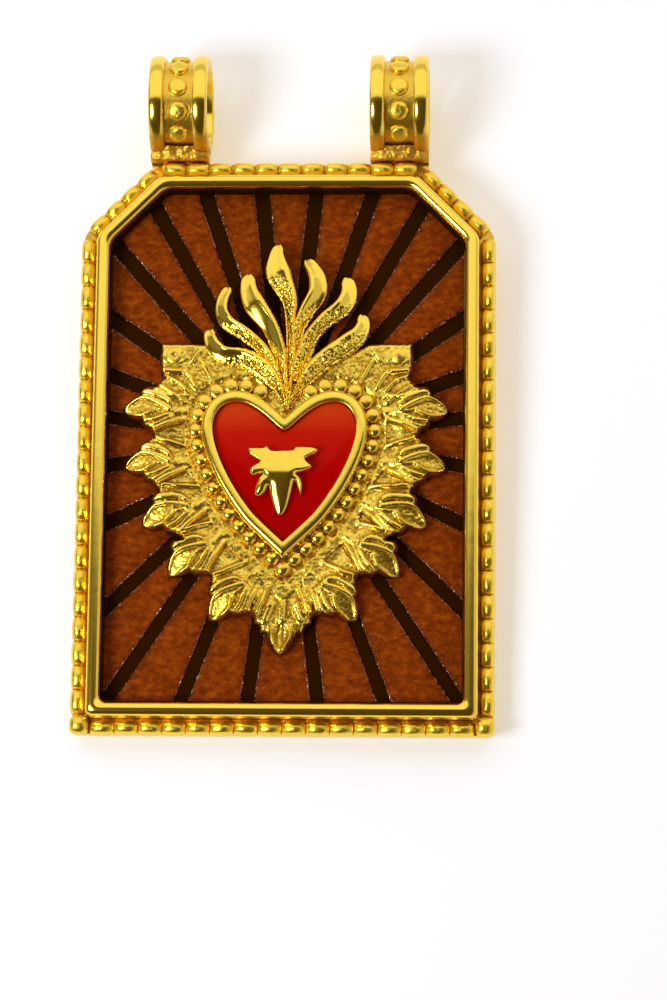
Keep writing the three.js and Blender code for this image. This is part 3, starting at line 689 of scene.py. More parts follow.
corner_rise = corner_high[1] - corner_low[1]
sink = CORNER_SUNK_SHARE * corner_rise
for word, side in SIDES:
    corner = Body()
    middle = (side * (HALF_WIDTH - corner_radius), LEDGE_Y - sink, FRAME_BOTTOM + corner_radius)
    half_sizes = (corner_radius, corner_radius, (1 - CORNER_SUNK_SHARE) * corner_rise, sink)
    corner.loops(bead_loops(middle, LEVEL, UPRIGHT, FRONT, *half_sizes, CORNER_PLAN, CORNER_PROFILE))
    corner.make("corner_pearl_" + word, beaded_gold, "beaded_gold", "corner_bead_" + word)

# %% [markdown]
# ## Rayed panel
# The panel is one plate of enamel with straight grooves that spread from a point behind the flame.
# A grid whose columns follow the groove edges keeps those edges crisp. Each column starts near that
# point and runs out to the tray wall.

# %% Columns of the panel
GROOVE_WIDTH = 0.87
GROOVE_ANGLES = [6.2, 18.5, 29.5, 41.2, 55.2, 70.1, 83.1, 98.8, 116, 134.2, 146.6, 159.2, 172.5]
PANEL_CLEARANCE = 0.1
PANEL_START = 2.6
PANEL_ROWS = 170
RAY_COLUMNS = 26
GROOVE_COLUMNS = 5
SLACK = 1e-6


def unit(degrees):
    angle = math.radians(degrees)
    return np.array([math.sin(angle), math.cos(angle)])


def reach(start, direction, loop):
    """How far a line goes from its start before it crosses the loop for the last time."""
    edge = np.roll(loop, -1, axis=0) - loop
    across = direction[0] * edge[:, 1] - direction[1] * edge[:, 0]
    across = np.where(np.abs(across) < 1e-12, 1e-12, across)
    to = loop - start
    far = (to[:, 0] * edge[:, 1] - to[:, 1] * edge[:, 0]) / across
    share = (to[:, 0] * direction[1] - to[:, 1] * direction[0]) / across
    return far[(share >= -SLACK) & (share <= 1 + SLACK)].max()


grooves = sorted(GROOVE_ANGLES + [360 - a for a in GROOVE_ANGLES])
opening = frame_loop(OPENING_INSET + PANEL_CLEARANCE, 0, CORNER_INSIDE)[:, [0, 2]]
starts, lines, shares = [], [], []
for angle, following in zip(grooves, grooves[1:] + [grooves[0] + 360]):
    for share in np.linspace(-0.5, 0.5, GROOVE_COLUMNS):
        starts.append(RAY_CENTRE + unit(angle + 90) * GROOVE_WIDTH * share)
        lines.append(unit(angle))
        shares.append(-1.0)
    first = RAY_CENTRE + unit(angle + 90) * GROOVE_WIDTH / 2
    last = RAY_CENTRE - unit(following + 90) * GROOVE_WIDTH / 2
    for share in 0.5 - 0.5 * np.cos(np.linspace(0, math.pi, RAY_COLUMNS)):
        starts.append(first + (last - first) * share)
        lines.append(unit(angle + (following - angle) * share))
        shares.append(share)
far = np.array([reach(start, line, opening) for start, line in zip(starts, lines)])
starts, lines = np.array(starts), np.array(lines)
rows = []
for t in np.linspace(0, 1, PANEL_ROWS):
    rows.append(starts + lines * (PANEL_START + (far - PANEL_START) * t)[:, None])
flat = np.concatenate(rows)
share = np.tile(shares, PANEL_ROWS)
print("panel of", len(starts), "columns and", PANEL_ROWS, "rows")

# %% [markdown]
# The rays are slightly domed and pushed up and down by noise, so that their grain is real relief.
# Each ray has a fine bevel along its edge, which catches the lamp, and then a steep shoulder, which
# is worn and wider on the upper rays. Round the panel a thin lip stands up the tray wall in the
# enamel's darkest colour: painted shade, a dark sheet where the wall shades the panel's edge.

# %% Rays
GROOVE_DEPTH = 0.3
NARROW_SHOULDER = 0.08
WORN_SHOULDER = 0.22
WORN_RAYS = (0.1, 0.6)
BEVEL_WIDTH = 0.2
BEVEL_SHARE = 0.24
RAY_DOME = 0.3
RAY_SUNK = 0.05
EDGE_WOBBLE = 0.05
WOBBLE_SIZE = 0.35
COARSE_GRAIN = 0.035
COARSE_GRAIN_SIZE = 0.42
FINE_GRAIN = 0.025
FINE_GRAIN_SIZE = 0.2
EDGE_GRAIN_SHARE = 0.35
CALM_EDGE = (0.2, 0.45)
GROOVE_GRAIN = 0.01
GROOVE_GRAIN_SIZE = 0.3
LIP_THICKNESS = 0.08
LIP_START = RAY_TOP - 0.1
LIP_TOP = RIM_SEAT + 0.06

distance = np.linalg.norm(flat - RAY_CENTRE, axis=1)
from_edge = np.minimum(share, 1 - share) * (distance * math.radians(360 / len(grooves)) - GROOVE_WIDTH)
points = at_depth(flat, 0)
upward = (flat[:, 1] - RAY_CENTRE[1]) / distance
shoulder_width = NARROW_SHOULDER + (WORN_SHOULDER - NARROW_SHOULDER) * smooth_step(upward, *WORN_RAYS)
to_groove = from_edge + EDGE_WOBBLE * soft_noise(points, WOBBLE_SIZE, 3.0) * (share >= 0)
shoulder = (1 - BEVEL_SHARE) * smooth_step(to_groove, 0, shoulder_width)
shoulder += BEVEL_SHARE * np.clip((to_groove - shoulder_width) / BEVEL_WIDTH, 0, 1)
leather = COARSE_GRAIN * soft_noise(points, COARSE_GRAIN_SIZE)
leather += FINE_GRAIN * soft_noise(points, FINE_GRAIN_SIZE, 7.0)
leather *= EDGE_GRAIN_SHARE + (1 - EDGE_GRAIN_SHARE) * smooth_step(from_edge, *CALM_EDGE)
dome = 1 - RAY_DOME * (2 * share - 1) ** 2
ray_height = ((GROOVE_DEPTH - RAY_SUNK) * dome + leather) * shoulder
groove_height = GROOVE_GRAIN * soft_noise(points, GROOVE_GRAIN_SIZE, 5.0)
height = np.where(share >= 0, ray_height, groove_height)
height = np.clip(height, 0, GROOVE_DEPTH)
points[:, 1] = RAY_TOP + GROOVE_DEPTH - height
edge_row = rows[-1]
outwards = edge_row - RAY_CENTRE
lip_row = edge_row + outwards / np.linalg.norm(outwards, axis=1)[:, None] * LIP_THICKNESS
lip = [at_depth(edge_row, LIP_START), at_depth(edge_row, LIP_TOP)]
lip += [at_depth(lip_row, LIP_TOP), at_depth(lip_row, PLATE_FRONT)]
panel = Body()
# The lip takes mark 1, the darkest colour, as painted shade along the tray wall.
depth_and_wall_shade = np.concatenate([1 - height / GROOVE_DEPTH, np.ones(len(lip) * len(edge_row))])
panel.loops(list(points.reshape(PANEL_ROWS, -1, 3)) + lip, mark=depth_and_wall_shade)
panel.make("enamel_rays", brown_enamel, "brown_enamel", "ray_panel")

# %% [markdown]
# ## The heart's outline
# Half of the heart is four curves from the cleft to the point, and the other half mirrors it. The
# bezel, the enamel and the bead ring are all offsets of this one line.

# %% Heart outline
HEART_CURVES = [
    [(0, 1.08), (0.98, 2.06), (2.27, 3.23), (3.7, 3.23)],
    [(3.7, 3.23), (5.23, 3.23), (6.31, 1.93), (6.26, 0.3)],
    [(6.26, 0.3), (6.21, -1.72), (4.64, -4.69), (2.92, -6.79)],
    [(2.92, -6.79), (1.96, -7.8), (0.88, -8.72), (0, -9.58)],
]
CURVE_STEPS = 60
HEART_HALF_STEPS = 110
CLEFT_ROUNDING = 0.35
LOBES_END = 2
OFF_AXIS = 1e-3


def heart_half(offset):
    """The right half of the heart's line, moved outwards by the offset."""
    points = []
    for curve in HEART_CURVES:
        a, b, c, d = np.array(curve, float)
        for t in np.linspace(0, 1, CURVE_STEPS)[1 if points else 0:]:
            points.append((1 - t) ** 3 * a + 3 * t * (1 - t) ** 2 * b + 3 * t**2 * (1 - t) * c + t**3 * d)
    ahead = headings(points)
    moved = np.array(points) + offset * np.column_stack([-ahead[:, 1], ahead[:, 0]])
    kept = moved[moved[:, 0] > OFF_AXIS]
    top = kept[0] + (kept[1] - kept[0]) * (0 - kept[0, 0]) / (kept[1, 0] - kept[0, 0])
    tip = kept[-1] + (kept[-2] - kept[-1]) * (0 - kept[-1, 0]) / (kept[-2, 0] - kept[-1, 0])
    return np.vstack([top, kept, tip]) + RAY_CENTRE


def heart_loop(offset, y):
    """The whole line at a depth. Inside the bezel its cleft is softened."""
    half = evenly(heart_half(offset), HEART_HALF_STEPS)
    soft = CLEFT_ROUNDING * np.clip(-offset, 0, 1)
    upper = half[:, 1] > RAY_CENTRE[1] - LOBES_END
    half[:, 1] += np.where(upper, np.sqrt(half[:, 0] ** 2 + soft**2) - half[:, 0], 0)
    return at_depth(mirrored(half), y)


# %% [markdown]
# ## Bezel
# The bezel is a band bent round the heart and rubbed over the enamel. Its outer half was rolled
# over by the burnisher, so it is widely rounded; its top is flat, and a small shoulder turns down
# to the glass. The round outer half is what catches the long white line low on the left.

# %% Bezel
BEZEL_WIDTH = 0.84
BEZEL_SPREAD = 0.05
ROLL_WIDTH = 0.4
ROLL_DROP = 0.42
ROLL_STEPS = 9
INNER_SHOULDER = 0.12
SHOULDER_STEPS = 5
bezel_top = bezel_low[1]
bezel_section = [(BEZEL_SPREAD, FIELD_Y)]
for angle in np.linspace(0, math.pi / 2, ROLL_STEPS):
    outwards = BEZEL_SPREAD - ROLL_WIDTH * (1 - math.cos(angle))
    bezel_section.append((outwards, bezel_top + ROLL_DROP * (1 - math.sin(angle))))
for angle in np.linspace(math.pi / 2, 0, SHOULDER_STEPS):
    inwards = BEZEL_WIDTH - INNER_SHOULDER * (1 - math.cos(angle))
    bezel_section.append((-inwards, bezel_top + INNER_SHOULDER * (1 - math.sin(angle))))
bezel_section.append((-BEZEL_WIDTH, FIELD_Y))
bezel = Body()
bezel.loops([heart_loop(offset, y) for offset, y in bezel_section], rows_close=True)
bezel.make("heart_rim", polished_gold, "polished_gold", "heart_bezel")

# %% [markdown]
# ## Enamel heart
# The glass stands up in the bezel as a low cushion. Rings that shrink towards the middle of the
# heart, each a little higher, give it, and its edge rounds down into a narrow dark gap.

# %% Enamel heart
GLASS_GAP = 0.05
ENAMEL_RINGS = [1.0, 0.985, 0.96, 0.93, 0.89, 0.84, 0.78, 0.7, 0.6, 0.5, 0.4, 0.3, 0.2, 0.1, 0.02]
ENAMEL_DOME = 0.18
DOME_SHARE = 0.35
EDGE_POWER = 14
HEART_MIDDLE_DROP = 1.6
heart_middle = RAY_CENTRE - [0, HEART_MIDDLE_DROP]
glass_line = heart_loop(-BEZEL_WIDTH - GLASS_GAP, FIELD_Y)
enamel_loops = [glass_line]
for share in ENAMEL_RINGS:
    drop = DOME_SHARE * share**2 + (1 - DOME_SHARE) * share**EDGE_POWER
    shrunk = heart_middle + (glass_line[:, [0, 2]] - heart_middle) * share
    enamel_loops.append(at_depth(shrunk, enamel_low[1] + ENAMEL_DOME * drop))
enamel = Body()
enamel.loops(enamel_loops)
enamel.make("enamel_heart", red_enamel, "red_enamel", "heart_enamel")

# %% [markdown]
# ## Bead ring
# Small beads follow the bezel all the way, except at the cleft, where the root of the flame comes
# down. Over the two lobes they are broad and touch one another; down the sides they are smaller and
# stand apart; and a larger one closes the ring at the point.

# %% Bead ring
RING_GAP = 0.06
RING_BEAD_WIDTH = 0.95
RING_PITCH = 1.17
RING_START = 1.8
RING_LINE_STEPS = 400
RING_MATT = 0.2
RING_SINK = 0.35
RING_RISE = 0.6
HEADING_STEP = 0.05
SMALLEST_PEARL = 0.95
# Places along half of the ring, from the cleft at 0 to the point at 1, with the widths of the beads
# there and how round their crowns are.
RING_PLACES = [0.0, 0.3, 0.42, 0.6, 0.95, 1.0]
RING_WIDTHS = [1.3, 1.3, 1.15, 1.1, 1.2, 1.35]
RING_PROFILES = [0.6, 0.6, 0.75, 0.9, 0.9, 0.9]
ring_low, ring_high = box_mm("heart_bead_ring")
ring_top = ring_high[1] - ring_low[1]
ring_line = mirrored(evenly(heart_half(RING_GAP + RING_BEAD_WIDTH / 2), RING_LINE_STEPS), None)
steps = travelled(ring_line)
ring_count = 2 * round((steps[-1] - 2 * RING_START) / RING_PITCH / 2 - 0.5) + 1
ring_pitch = (steps[-1] - 2 * RING_START) / ring_count
ring = Body()
for i in range(ring_count):
    at = RING_START + ring_pitch * (i + 0.5)
    ends = [[np.interp(a, steps, ring_line[:, k]) for k in (0, 1)] for a in (at, at + HEADING_STEP)]
    spot, following = at_depth(ends, 0)
    along = (following - spot) / np.linalg.norm(following - spot)
    across = np.cross(along, FRONT)
    place = 1 - abs(2 * at / steps[-1] - 1)
    width = np.interp(place, RING_PLACES, RING_WIDTHS)
    profile = np.interp(place, RING_PLACES, RING_PROFILES)
    size = chance.uniform(SMALLEST_PEARL, 1.0)
    middle = (spot[0], FIELD_Y - ring_top * RING_SINK, spot[2])
    length = min(width, ring_pitch)
    half_sizes = (length / 2 * size, width / 2 * size, ring_top * RING_RISE * size, ring_top * RING_SINK)
    ring.loops(bead_loops(middle, along, across, FRONT, *half_sizes, profile=profile), mark=RING_MATT)
ring.make("heart_pearls", polished_gold, "polished_gold", "heart_bead_ring")
print("ring of", ring_count, "beads at", round(ring_pitch, 3), "mm")

# %% [markdown]
# ## Plates cut to a line
# The wreath and the palmette are flat castings with relief on them, and their outlines turn back on
# themselves. So each is filled with small triangles between its outline and an even net of points,
# and then every point is lifted by its own height. The height needs the distance to the outline.

# %% Cut plates
FAR_AWAY = 1e9
NEAREST_TO_EDGE = 0.6
EDGE_PART = 64
LINE_PART = 40


def inside(points, loop):
    """True for the points that lie within a closed line."""
    x, z = points[:, 0], points[:, 1]
    crossed = np.zeros(len(points), bool)
    for (x0, z0), (x1, z1) in zip(loop, np.roll(loop, -1, axis=0)):
        if z0 != z1:
            crossed ^= ((z0 > z) != (z1 > z)) & (x < x0 + (z - z0) * (x1 - x0) / (z1 - z0))
    return crossed


def inside_box(points, part, margin):
    low, high = part.min(axis=0) - margin, part.max(axis=0) + margin
    return ((points > low) & (points < high)).all(axis=1)


def line_distance(points, line):
    """The distance from each point to a line of points, and how far along the line it is, 0 to 1."""
    nearest = np.full(len(points), FAR_AWAY)
    place = np.zeros(len(points))
    pieces = len(line) - 1
    for i in range(pieces):
        way = line[i + 1] - line[i]
        t = np.clip(((points - line[i]) @ way) / max(way @ way, 1e-12), 0, 1)
        away = np.hypot(*(points - line[i] - np.outer(t, way)).T)
        closer = away < nearest
        nearest = np.where(closer, away, nearest)
        place = np.where(closer, (i + t) / pieces, place)
    return nearest, place


def distance_up_to(limit, points, line):
    """The distance to a long line, no farther than the limit, reckoned part by part."""
    found = np.full(len(points), limit)
    for i in range(0, len(line) - 1, LINE_PART):
        part = line[i:i + LINE_PART + 1]
        near = inside_box(points, part, limit)
        if near.any():
            found[near] = np.minimum(found[near], line_distance(points[near], part)[0])
    return found


def cut_plate(outline, spacing):
    """Points, triangles and the closed edge of a flat plate. The edge's points come first."""
    closed = np.vstack([outline, outline[:1]])
    edge = evenly(closed, round(travelled(closed)[-1] / spacing))[:-1]
    low, high = outline.min(axis=0), outline.max(axis=0)
    net = []
    for row, z in enumerate(np.arange(low[1], high[1], spacing * math.sqrt(0.75))):
        across = np.arange(low[0] + (row % 2) * spacing / 2, high[0], spacing)
        net.append(np.column_stack([across, np.full(len(across), z)]))
    net = np.concatenate(net)
    net = net[inside(net, edge)]
    near = np.full(len(net), FAR_AWAY)
    for shift in range(0, len(edge), EDGE_PART):
        part = edge[shift:shift + EDGE_PART]
        close = inside_box(net, part, spacing)
        gaps = np.linalg.norm(net[close][:, None] - part[None], axis=2)
        near[close] = np.minimum(near[close], gaps.min(axis=1))
    points = np.vstack([edge, net[near > spacing * NEAREST_TO_EDGE]])
    rim = [(i, (i + 1) % len(edge)) for i in range(len(edge))]
    cut = delaunay_2d_cdt([Vector(p) for p in points], rim, [], 1, 1e-7)
    flat = np.array([tuple(p) for p in cut[0]])
    return flat, cut[2], np.vstack([flat[:len(edge)], flat[:1]])


def standing_plate(points, triangles, edge_count, floor_y, marks):
    """A body with this lifted face, and a wall from its edge down to the floor."""
    foot = points[:edge_count] * [1, 0, 1] + [0, floor_y, 0]
    wall = []
    for i in range(edge_count):
        following = (i + 1) % edge_count
        wall.append((i, following, len(points) + following, len(points) + i))
    body = Body()
    body.add(np.vstack([points, foot]), list(triangles) + wall, np.append(marks, np.zeros(edge_count)))
    return body


# %% [markdown]
# ## Leaf wreath
# The wreath is cast in one piece. Five leaves on each side and one at the point spring from a plain
# band beside the beads. Each leaf has the same plan: a pricked eye between two smooth lips, a broad
# finger above it, granular ribs below it, and smooth pockets between it and its neighbours. So one
# leaf is described once, from its root at 0 to its tip at 1, and laid down at ten places.

# %% Wreath outline
# Tip and root of each leaf, measured from the middle of the rays.
LEAVES = [
    ((12.5, 2.02), (8.68, 1.91)), ((12.33, -2.42), (8.6, -2.11)), ((10.89, -6.91), (7.09, -5.54)),
    ((8.78, -10.79), (5.66, -8.4)), ((5.57, -14.18), (2.77, -11.43)),
]
LEAF_EDGE = [
    (0.495, 0.515), (0.561, 0.476), (0.654, 0.403), (0.676, 0.317), (0.765, 0.262), (0.9, 0.148), (1, 0),
    (0.884, -0.116), (0.776, -0.174), (0.616, -0.206), (0.587, -0.308), (0.479, -0.361), (0.386, -0.443),
    (0.343, -0.534),
]
STUB_EDGE = [
    (0, 4.3), (1.5, 4.73), (3.5, 5.73), (6.17, 7.22), (7.39, 7.3), (9.64, 7.3), (9.72, 6.2), (9.64, 4.99),
    (9.49, 4.51), (9.85, 4.03), (10.13, 3.79),
]
POINT_EDGE = [
    (2.14, -14.02), (2.2, -14.35), (1.75, -14.6), (1.6, -15.15), (1.2, -15.15), (1.0, -15.8), (0.55, -16.5),
    (0, -16.84),
]
LEAN = 0.2
LEAN_FROM = 13.8
LEAN_TO = 16.5


def axes(leaf):
    """The root of a leaf, and its directions along and across, both as long as the leaf."""
    tip, root = np.array(leaf)
    along = tip - root
    return root, along, np.array([-along[1], along[0]])


def leaf_place(leaf, spots):
    """Turns places on a leaf, in leaf lengths along and across it, into the wreath's millimetres."""
    root, along, across = axes(leaf)
    return root + np.outer([u for u, _ in spots], along) + np.outer([v for _, v in spots], across)


def lean(z):
    """How far the drop at the point of the wreath leans to the left."""
    return LEAN * smooth_step(-z, LEAN_FROM, LEAN_TO)


leaf_edges = [leaf_place(leaf, LEAF_EDGE) for leaf in LEAVES]
wreath_edge = mirrored(np.vstack([STUB_EDGE, *leaf_edges, POINT_EDGE]))
wreath_edge[:, 0] -= lean(wreath_edge[:, 1])

# %% [markdown]
# ### Ribs and eyes
# Every rib is a rounded ridge along a short curve, with its half width and its height in
# millimetres. A rib's polish says how smooth the brush left it. Between two leaves lies a pocket,
# a smooth hollow between two curves with a raised lip along each.

# %% Ribs
# Places along the rib, half width at its start and end, height, polish.
LEAF_RIBS = [
    ([(-0.02, 0), (0.094, 0.07), (0.286, 0.173), (0.514, 0.249), (0.702, 0.239), (0.886, 0.129),
      (0.98, 0.02)], 0.2, 0.2, 0.22, 1),
    ([(0.334, 0.03), (0.428, -0.04), (0.583, -0.103), (0.759, -0.113), (0.884, -0.1), (0.98, -0.01)],
     0.14, 0.14, 0.18, 1),
    ([(0.002, 0.125), (0.129, 0.26), (0.322, 0.338), (0.543, 0.381), (0.63, 0.395)], 0.17, 0.36, 0.24, 0.6),
    ([(0.02, -0.02), (0.15, 0), (0.3, 0.03)], 0.13, 0.1, 0.1, 0),
    ([(0.005, -0.062), (0.185, -0.122), (0.34, -0.185), (0.555, -0.217), (0.6, -0.25)],
     0.17, 0.17, 0.18, 0.1),
    ([(-0.03, -0.11), (0.15, -0.2), (0.33, -0.29), (0.5, -0.34)], 0.14, 0.14, 0.15, 0.1),
    ([(-0.35, 0), (-0.2, 0), (-0.05, 0)], 0.3, 0.3, 0.08, 0.2),
]
POCKET_ABOVE = [(-0.276, 0.327), (0.002, 0.437), (0.16, 0.488), (0.304, 0.562), (0.42, 0.58)]
POCKET_TOP = [(-0.276, 0.327), (0.05, 0.3), (0.3, 0.42), (0.45, 0.5)]
POCKET_BELOW = [(-0.264, -0.134), (-0.071, -0.206), (0.122, -0.277), (0.253, -0.342), (0.4, -0.42)]
STUB_RIBS = [
    ([(9.6, 5.13), (8.7, 5.04), (7.8, 4.99)], 0.22, 0.22, 0.22, 1),
    ([(9.85, 4.05), (8.7, 3.3), (7.67, 2.55)], 0.17, 0.17, 0.22, 1),
    ([(6.65, 6.0), (6.1, 5.0), (5.57, 4.03)], 0.15, 0.15, 0.15, 0.8),
    ([(7.2, 5.8), (6.9, 6.2), (6.6, 6.7)], 0.18, 0.16, 0.15, 0.6),
    ([(7.75, 5.0), (7.3, 4.4), (6.9, 3.7)], 0.2, 0.14, 0.16, 0.5),
    ([(9.2, 4.6), (8.3, 4.2), (7.5, 3.4)], 0.16, 0.16, 0.18, 0.4),
]
POINT_RIBS = [
    ([(0, -12.85), (0, -13.5), (0, -14.2)], 0.28, 0.22, 0.2, 0.5),
    ([(0.82, -12.85), (1.1, -13.5), (1.42, -14.25)], 0.26, 0.26, 0.2, 0.5),
    ([(1.05, -11.4), (1.5, -12.6), (2.0, -13.8)], 0.15, 0.2, 0.22, 1),
    ([(0.62, -14.6), (0.75, -15.3), (0.35, -16.3)], 0.15, 0.12, 0.2, 0.9),
]
RIB_STEPS = 22
RIB_GAIN = 1.3
RIB_SPREAD = 1.3
RIB_RUN_OUT = (-0.08, 0.12)
RIB_SHINE = (0.05, 0.5)
POCKET_DEPTH = 0.24
POCKET_POLISH = 0.45
POCKET_LIP = (0.19, 0.19, 0.2, 1)
POCKET_SLOPE = (0.08, 0.3)
POCKET_MARGIN = 0.1


def lay_rib(flat, over, polish, line, start_width, end_width, rise, shine):
    """Raises a rib over the points near it and polishes them."""
    path = spline(line, RIB_STEPS)
    near = inside_box(flat, path, max(start_width, end_width))
    away, place = line_distance(flat[near], path)
    shape = 1 - (away / RIB_SPREAD / (start_width + (end_width - start_width) * place)) ** 2
    shape = np.clip(shape, 0, 1) * smooth_step(place, *RIB_RUN_OUT) * smooth_step(1 - place, *RIB_RUN_OUT)
    over[near] = np.maximum(over[near], RIB_GAIN * rise * shape)
    polish[near] = np.maximum(polish[near], shine * smooth_step(shape, *RIB_SHINE))


def lay_pocket(flat, over, polish, above, below):
    """Sinks the points between two curves, and raises a lip along each curve."""
    for line in (above, below):
        lay_rib(flat, over, polish, line, *POCKET_LIP)
    hollow = np.vstack([above, below[::-1]])
    near = inside_box(flat, hollow, POCKET_MARGIN)
    deep = np.minimum(line_distance(flat[near], above)[0], line_distance(flat[near], below)[0])
    deep = np.where(inside(flat[near], hollow), smooth_step(deep, *POCKET_SLOPE), 0)
    over[near] -= POCKET_DEPTH * deep
    polish[near] = np.maximum(polish[near], POCKET_POLISH * deep)


# %% [markdown]
# The height of a point is that of the ground, which steps up at each leaf's root and falls towards
# its tip, plus the ribs and minus the hollows. The nearest leaf owns the ground. Round pads stay
# smooth, two of them for the rivets, and the whole edge rolls down.

# %% Wreath relief
# Smooth round pads: middle, half sizes, height.
PADS = [
    ((8.54, 6.19), (1.07, 0.63), 0.1),
    ((0, -12.0), (0.65, 0.6), 0.12),
    ((2.1, -11.2), (0.6, 0.55), 0.1),
]
PAD_POLISH = 0.5
PAD_EDGE = (0.85, 1.1)
EYE_MIDDLE = np.array([0.62, 0.075])
EYE_HALF_SIZES = np.array([0.31, 0.145])
EYE_DEPTH = 0.26
EYE_FOLD = 0.7
EYE_FOLD_WIDTH = 0.02
EYE_FOLD_SLANT = 0.25
DROP_MIDDLE = np.array([0, -15.5])
DROP_HALF_SIZES = np.array([0.5, 1.1])
DROP_DEPTH = 0.2
DROP_FOLD = 0.6
DROP_FOLD_WIDTH = 0.08
BAND_HEIGHT = -0.06
BAND_STEP = (0.05, 0.5)
TIER_HEIGHT = 0.05
LEAF_REACH = 0.62
LEAF_START = -0.3
LEAF_STEP = 0.22
LEAF_STEP_END = 0.1
LEAF_FALL = 0.45
LEAF_FALL_SPAN = (0.3, 1.05)
LEAF_CROWN = 0.3
EDGE_FALL = 0.45
EDGE_ROLL = 0.35


def cup(across_and_along):
    """A round hollow of depth 1, at places given in its half sizes."""
    return np.sqrt(np.clip(1 - np.hypot(*across_and_along.T) ** 2, 0, 1))


def wreath_relief(flat, to_edge, from_beads):
    """Height over the field, and polish, at points measured from the middle of the rays."""
    flat = np.column_stack([np.abs(flat[:, 0] + lean(flat[:, 1])), flat[:, 1]])
    base = BAND_HEIGHT + (TIER_HEIGHT - BAND_HEIGHT) * smooth_step(from_beads, *BAND_STEP)
    over, polish = np.zeros(len(flat)), np.zeros(len(flat))
    nearest = np.full(len(flat), LEAF_REACH)
    for leaf in LEAVES:
        root, along, across = axes(leaf)
        u, v = ((flat - root) @ way / (along @ along) for way in (along, across))
        mine = (np.abs(v) < nearest) & (u > LEAF_START)
        nearest = np.where(mine, np.abs(v), nearest)
        raised = LEAF_STEP * smooth_step(u, LEAF_START, LEAF_STEP_END)
        raised -= LEAF_FALL * smooth_step(u, *LEAF_FALL_SPAN) + LEAF_CROWN * v**2
        raised *= smooth_step(u, LEAF_START, 0)
        base = np.where(mine, np.minimum(base, TIER_HEIGHT) + raised, base)
        eye = np.column_stack([u, v]) - EYE_MIDDLE
        fold = EYE_FOLD * bump(eye[:, 1] + EYE_FOLD_SLANT * eye[:, 0], EYE_FOLD_WIDTH)
        over -= EYE_DEPTH * cup(eye / EYE_HALF_SIZES) * (1 - fold)
    for leaf in LEAVES:
        for line, *rib in LEAF_RIBS:
            lay_rib(flat, over, polish, leaf_place(leaf, line), *rib)
    lay_pocket(flat, over, polish, np.array(STUB_RIBS[1][0][::-1]), leaf_place(LEAVES[0], POCKET_TOP))
    for upper, lower in zip(LEAVES, LEAVES[1:]):
        lay_pocket(flat, over, polish, leaf_place(upper, POCKET_BELOW), leaf_place(lower, POCKET_ABOVE))
    lay_pocket(flat, over, polish, leaf_place(LEAVES[-1], POCKET_BELOW), np.array(POINT_RIBS[2][0]))
    for rib in STUB_RIBS + POINT_RIBS:
        lay_rib(flat, over, polish, *rib)
    fold = DROP_FOLD * bump(flat[:, 0], DROP_FOLD_WIDTH)
    over -= DROP_DEPTH * cup((flat - DROP_MIDDLE) / DROP_HALF_SIZES) * (1 - fold)
    height = base + over
    for middle, half_sizes, rise in PADS:
        on_pad = 1 - smooth_step(np.hypot(*((flat - middle) / half_sizes).T), *PAD_EDGE)
        height = height * (1 - on_pad) + rise * on_pad
        polish = np.maximum(polish, PAD_POLISH * on_pad)
    return height - EDGE_FALL * np.clip(1 - to_edge / EDGE_ROLL, 0, 1) ** 2, polish


# %% [markdown]
# ### The cast skin
# A point that lies below the level round it is painted brown as shade, and one that stands above it
# is made smoother and painted lighter as a highlight. So the level is the height smoothed over its
# neighbours, and the mark compares the two. Noise gives the unpolished skin the small bumps of the mould.

# %% Wreath mesh
WREATH_SPACING = 0.068
LEVEL_ROUNDS = 14
PLAIN_SKIN = 0.4
RELIEF_SHADE_GAIN = 5.5
HEART_HOLE_INSET = 0.3
FINE_CAST = 0.02
FINE_CAST_SIZE = 0.22
COARSE_CAST = 0.03
COARSE_CAST_SIZE = 0.5
LOWEST_PLACE = -0.8
HIGHEST_PLACE = 0.5
POLISH_EVENS = 0.85


def sunk(height, triangles):
    """How far each point lies below the mean level round it."""
    corners = np.array(triangles)
    pairs = np.vstack([corners[:, [0, 1]], corners[:, [1, 2]], corners[:, [2, 0]]])
    pairs = np.vstack([pairs, pairs[:, ::-1]])
    neighbours = np.bincount(pairs[:, 0], minlength=len(height))
    level = height
    for _ in range(LEVEL_ROUNDS):
        level = np.bincount(pairs[:, 0], weights=level[pairs[:, 1]], minlength=len(height)) / neighbours
    return level - height


flat, triangles, edge_line = cut_plate(wreath_edge, WREATH_SPACING)
to_edge = distance_up_to(EDGE_ROLL, flat, edge_line)
bead_line = mirrored(heart_half(RING_GAP + RING_BEAD_WIDTH) - RAY_CENTRE, None)
from_beads = np.where(inside(flat, bead_line), 0, distance_up_to(BAND_STEP[1], flat, bead_line))
height, polish = wreath_relief(flat, to_edge, from_beads)
# The mark paints shade on points below the level round them and a highlight on points above it.
skin = np.clip(PLAIN_SKIN + (1 - PLAIN_SKIN) * polish - RELIEF_SHADE_GAIN * sunk(height, triangles), 0, 1)
points = at_depth(flat + RAY_CENTRE, 0)
cast = FINE_CAST * soft_noise(points, FINE_CAST_SIZE, 2.0)
cast += COARSE_CAST * soft_noise(points, COARSE_CAST_SIZE, 5.0)
height += cast * (1 - POLISH_EVENS * polish)
points[:, 1] = FIELD_Y - np.clip(height, LOWEST_PLACE, HIGHEST_PLACE)
open_heart = inside(flat, mirrored(heart_half(-HEART_HOLE_INSET) - RAY_CENTRE))
kept = [face for face in triangles if not all(open_heart[i] for i in face)]
wreath = standing_plate(points, kept, len(edge_line) - 1, RAY_TOP, skin)
wreath.make("acanthus_wreath", cast_gold, "cast_gold", "leaf_wreath")

# %% [markdown]
# ## Rivets
# Two rivets hold the wreath to the tray, one through each of its upper lobes. Their heads were filed
# nearly flush with the pad round them, and the left one kept a small pit where the right has a knob.
# At the back their tails were hammered out until they filled the holes.

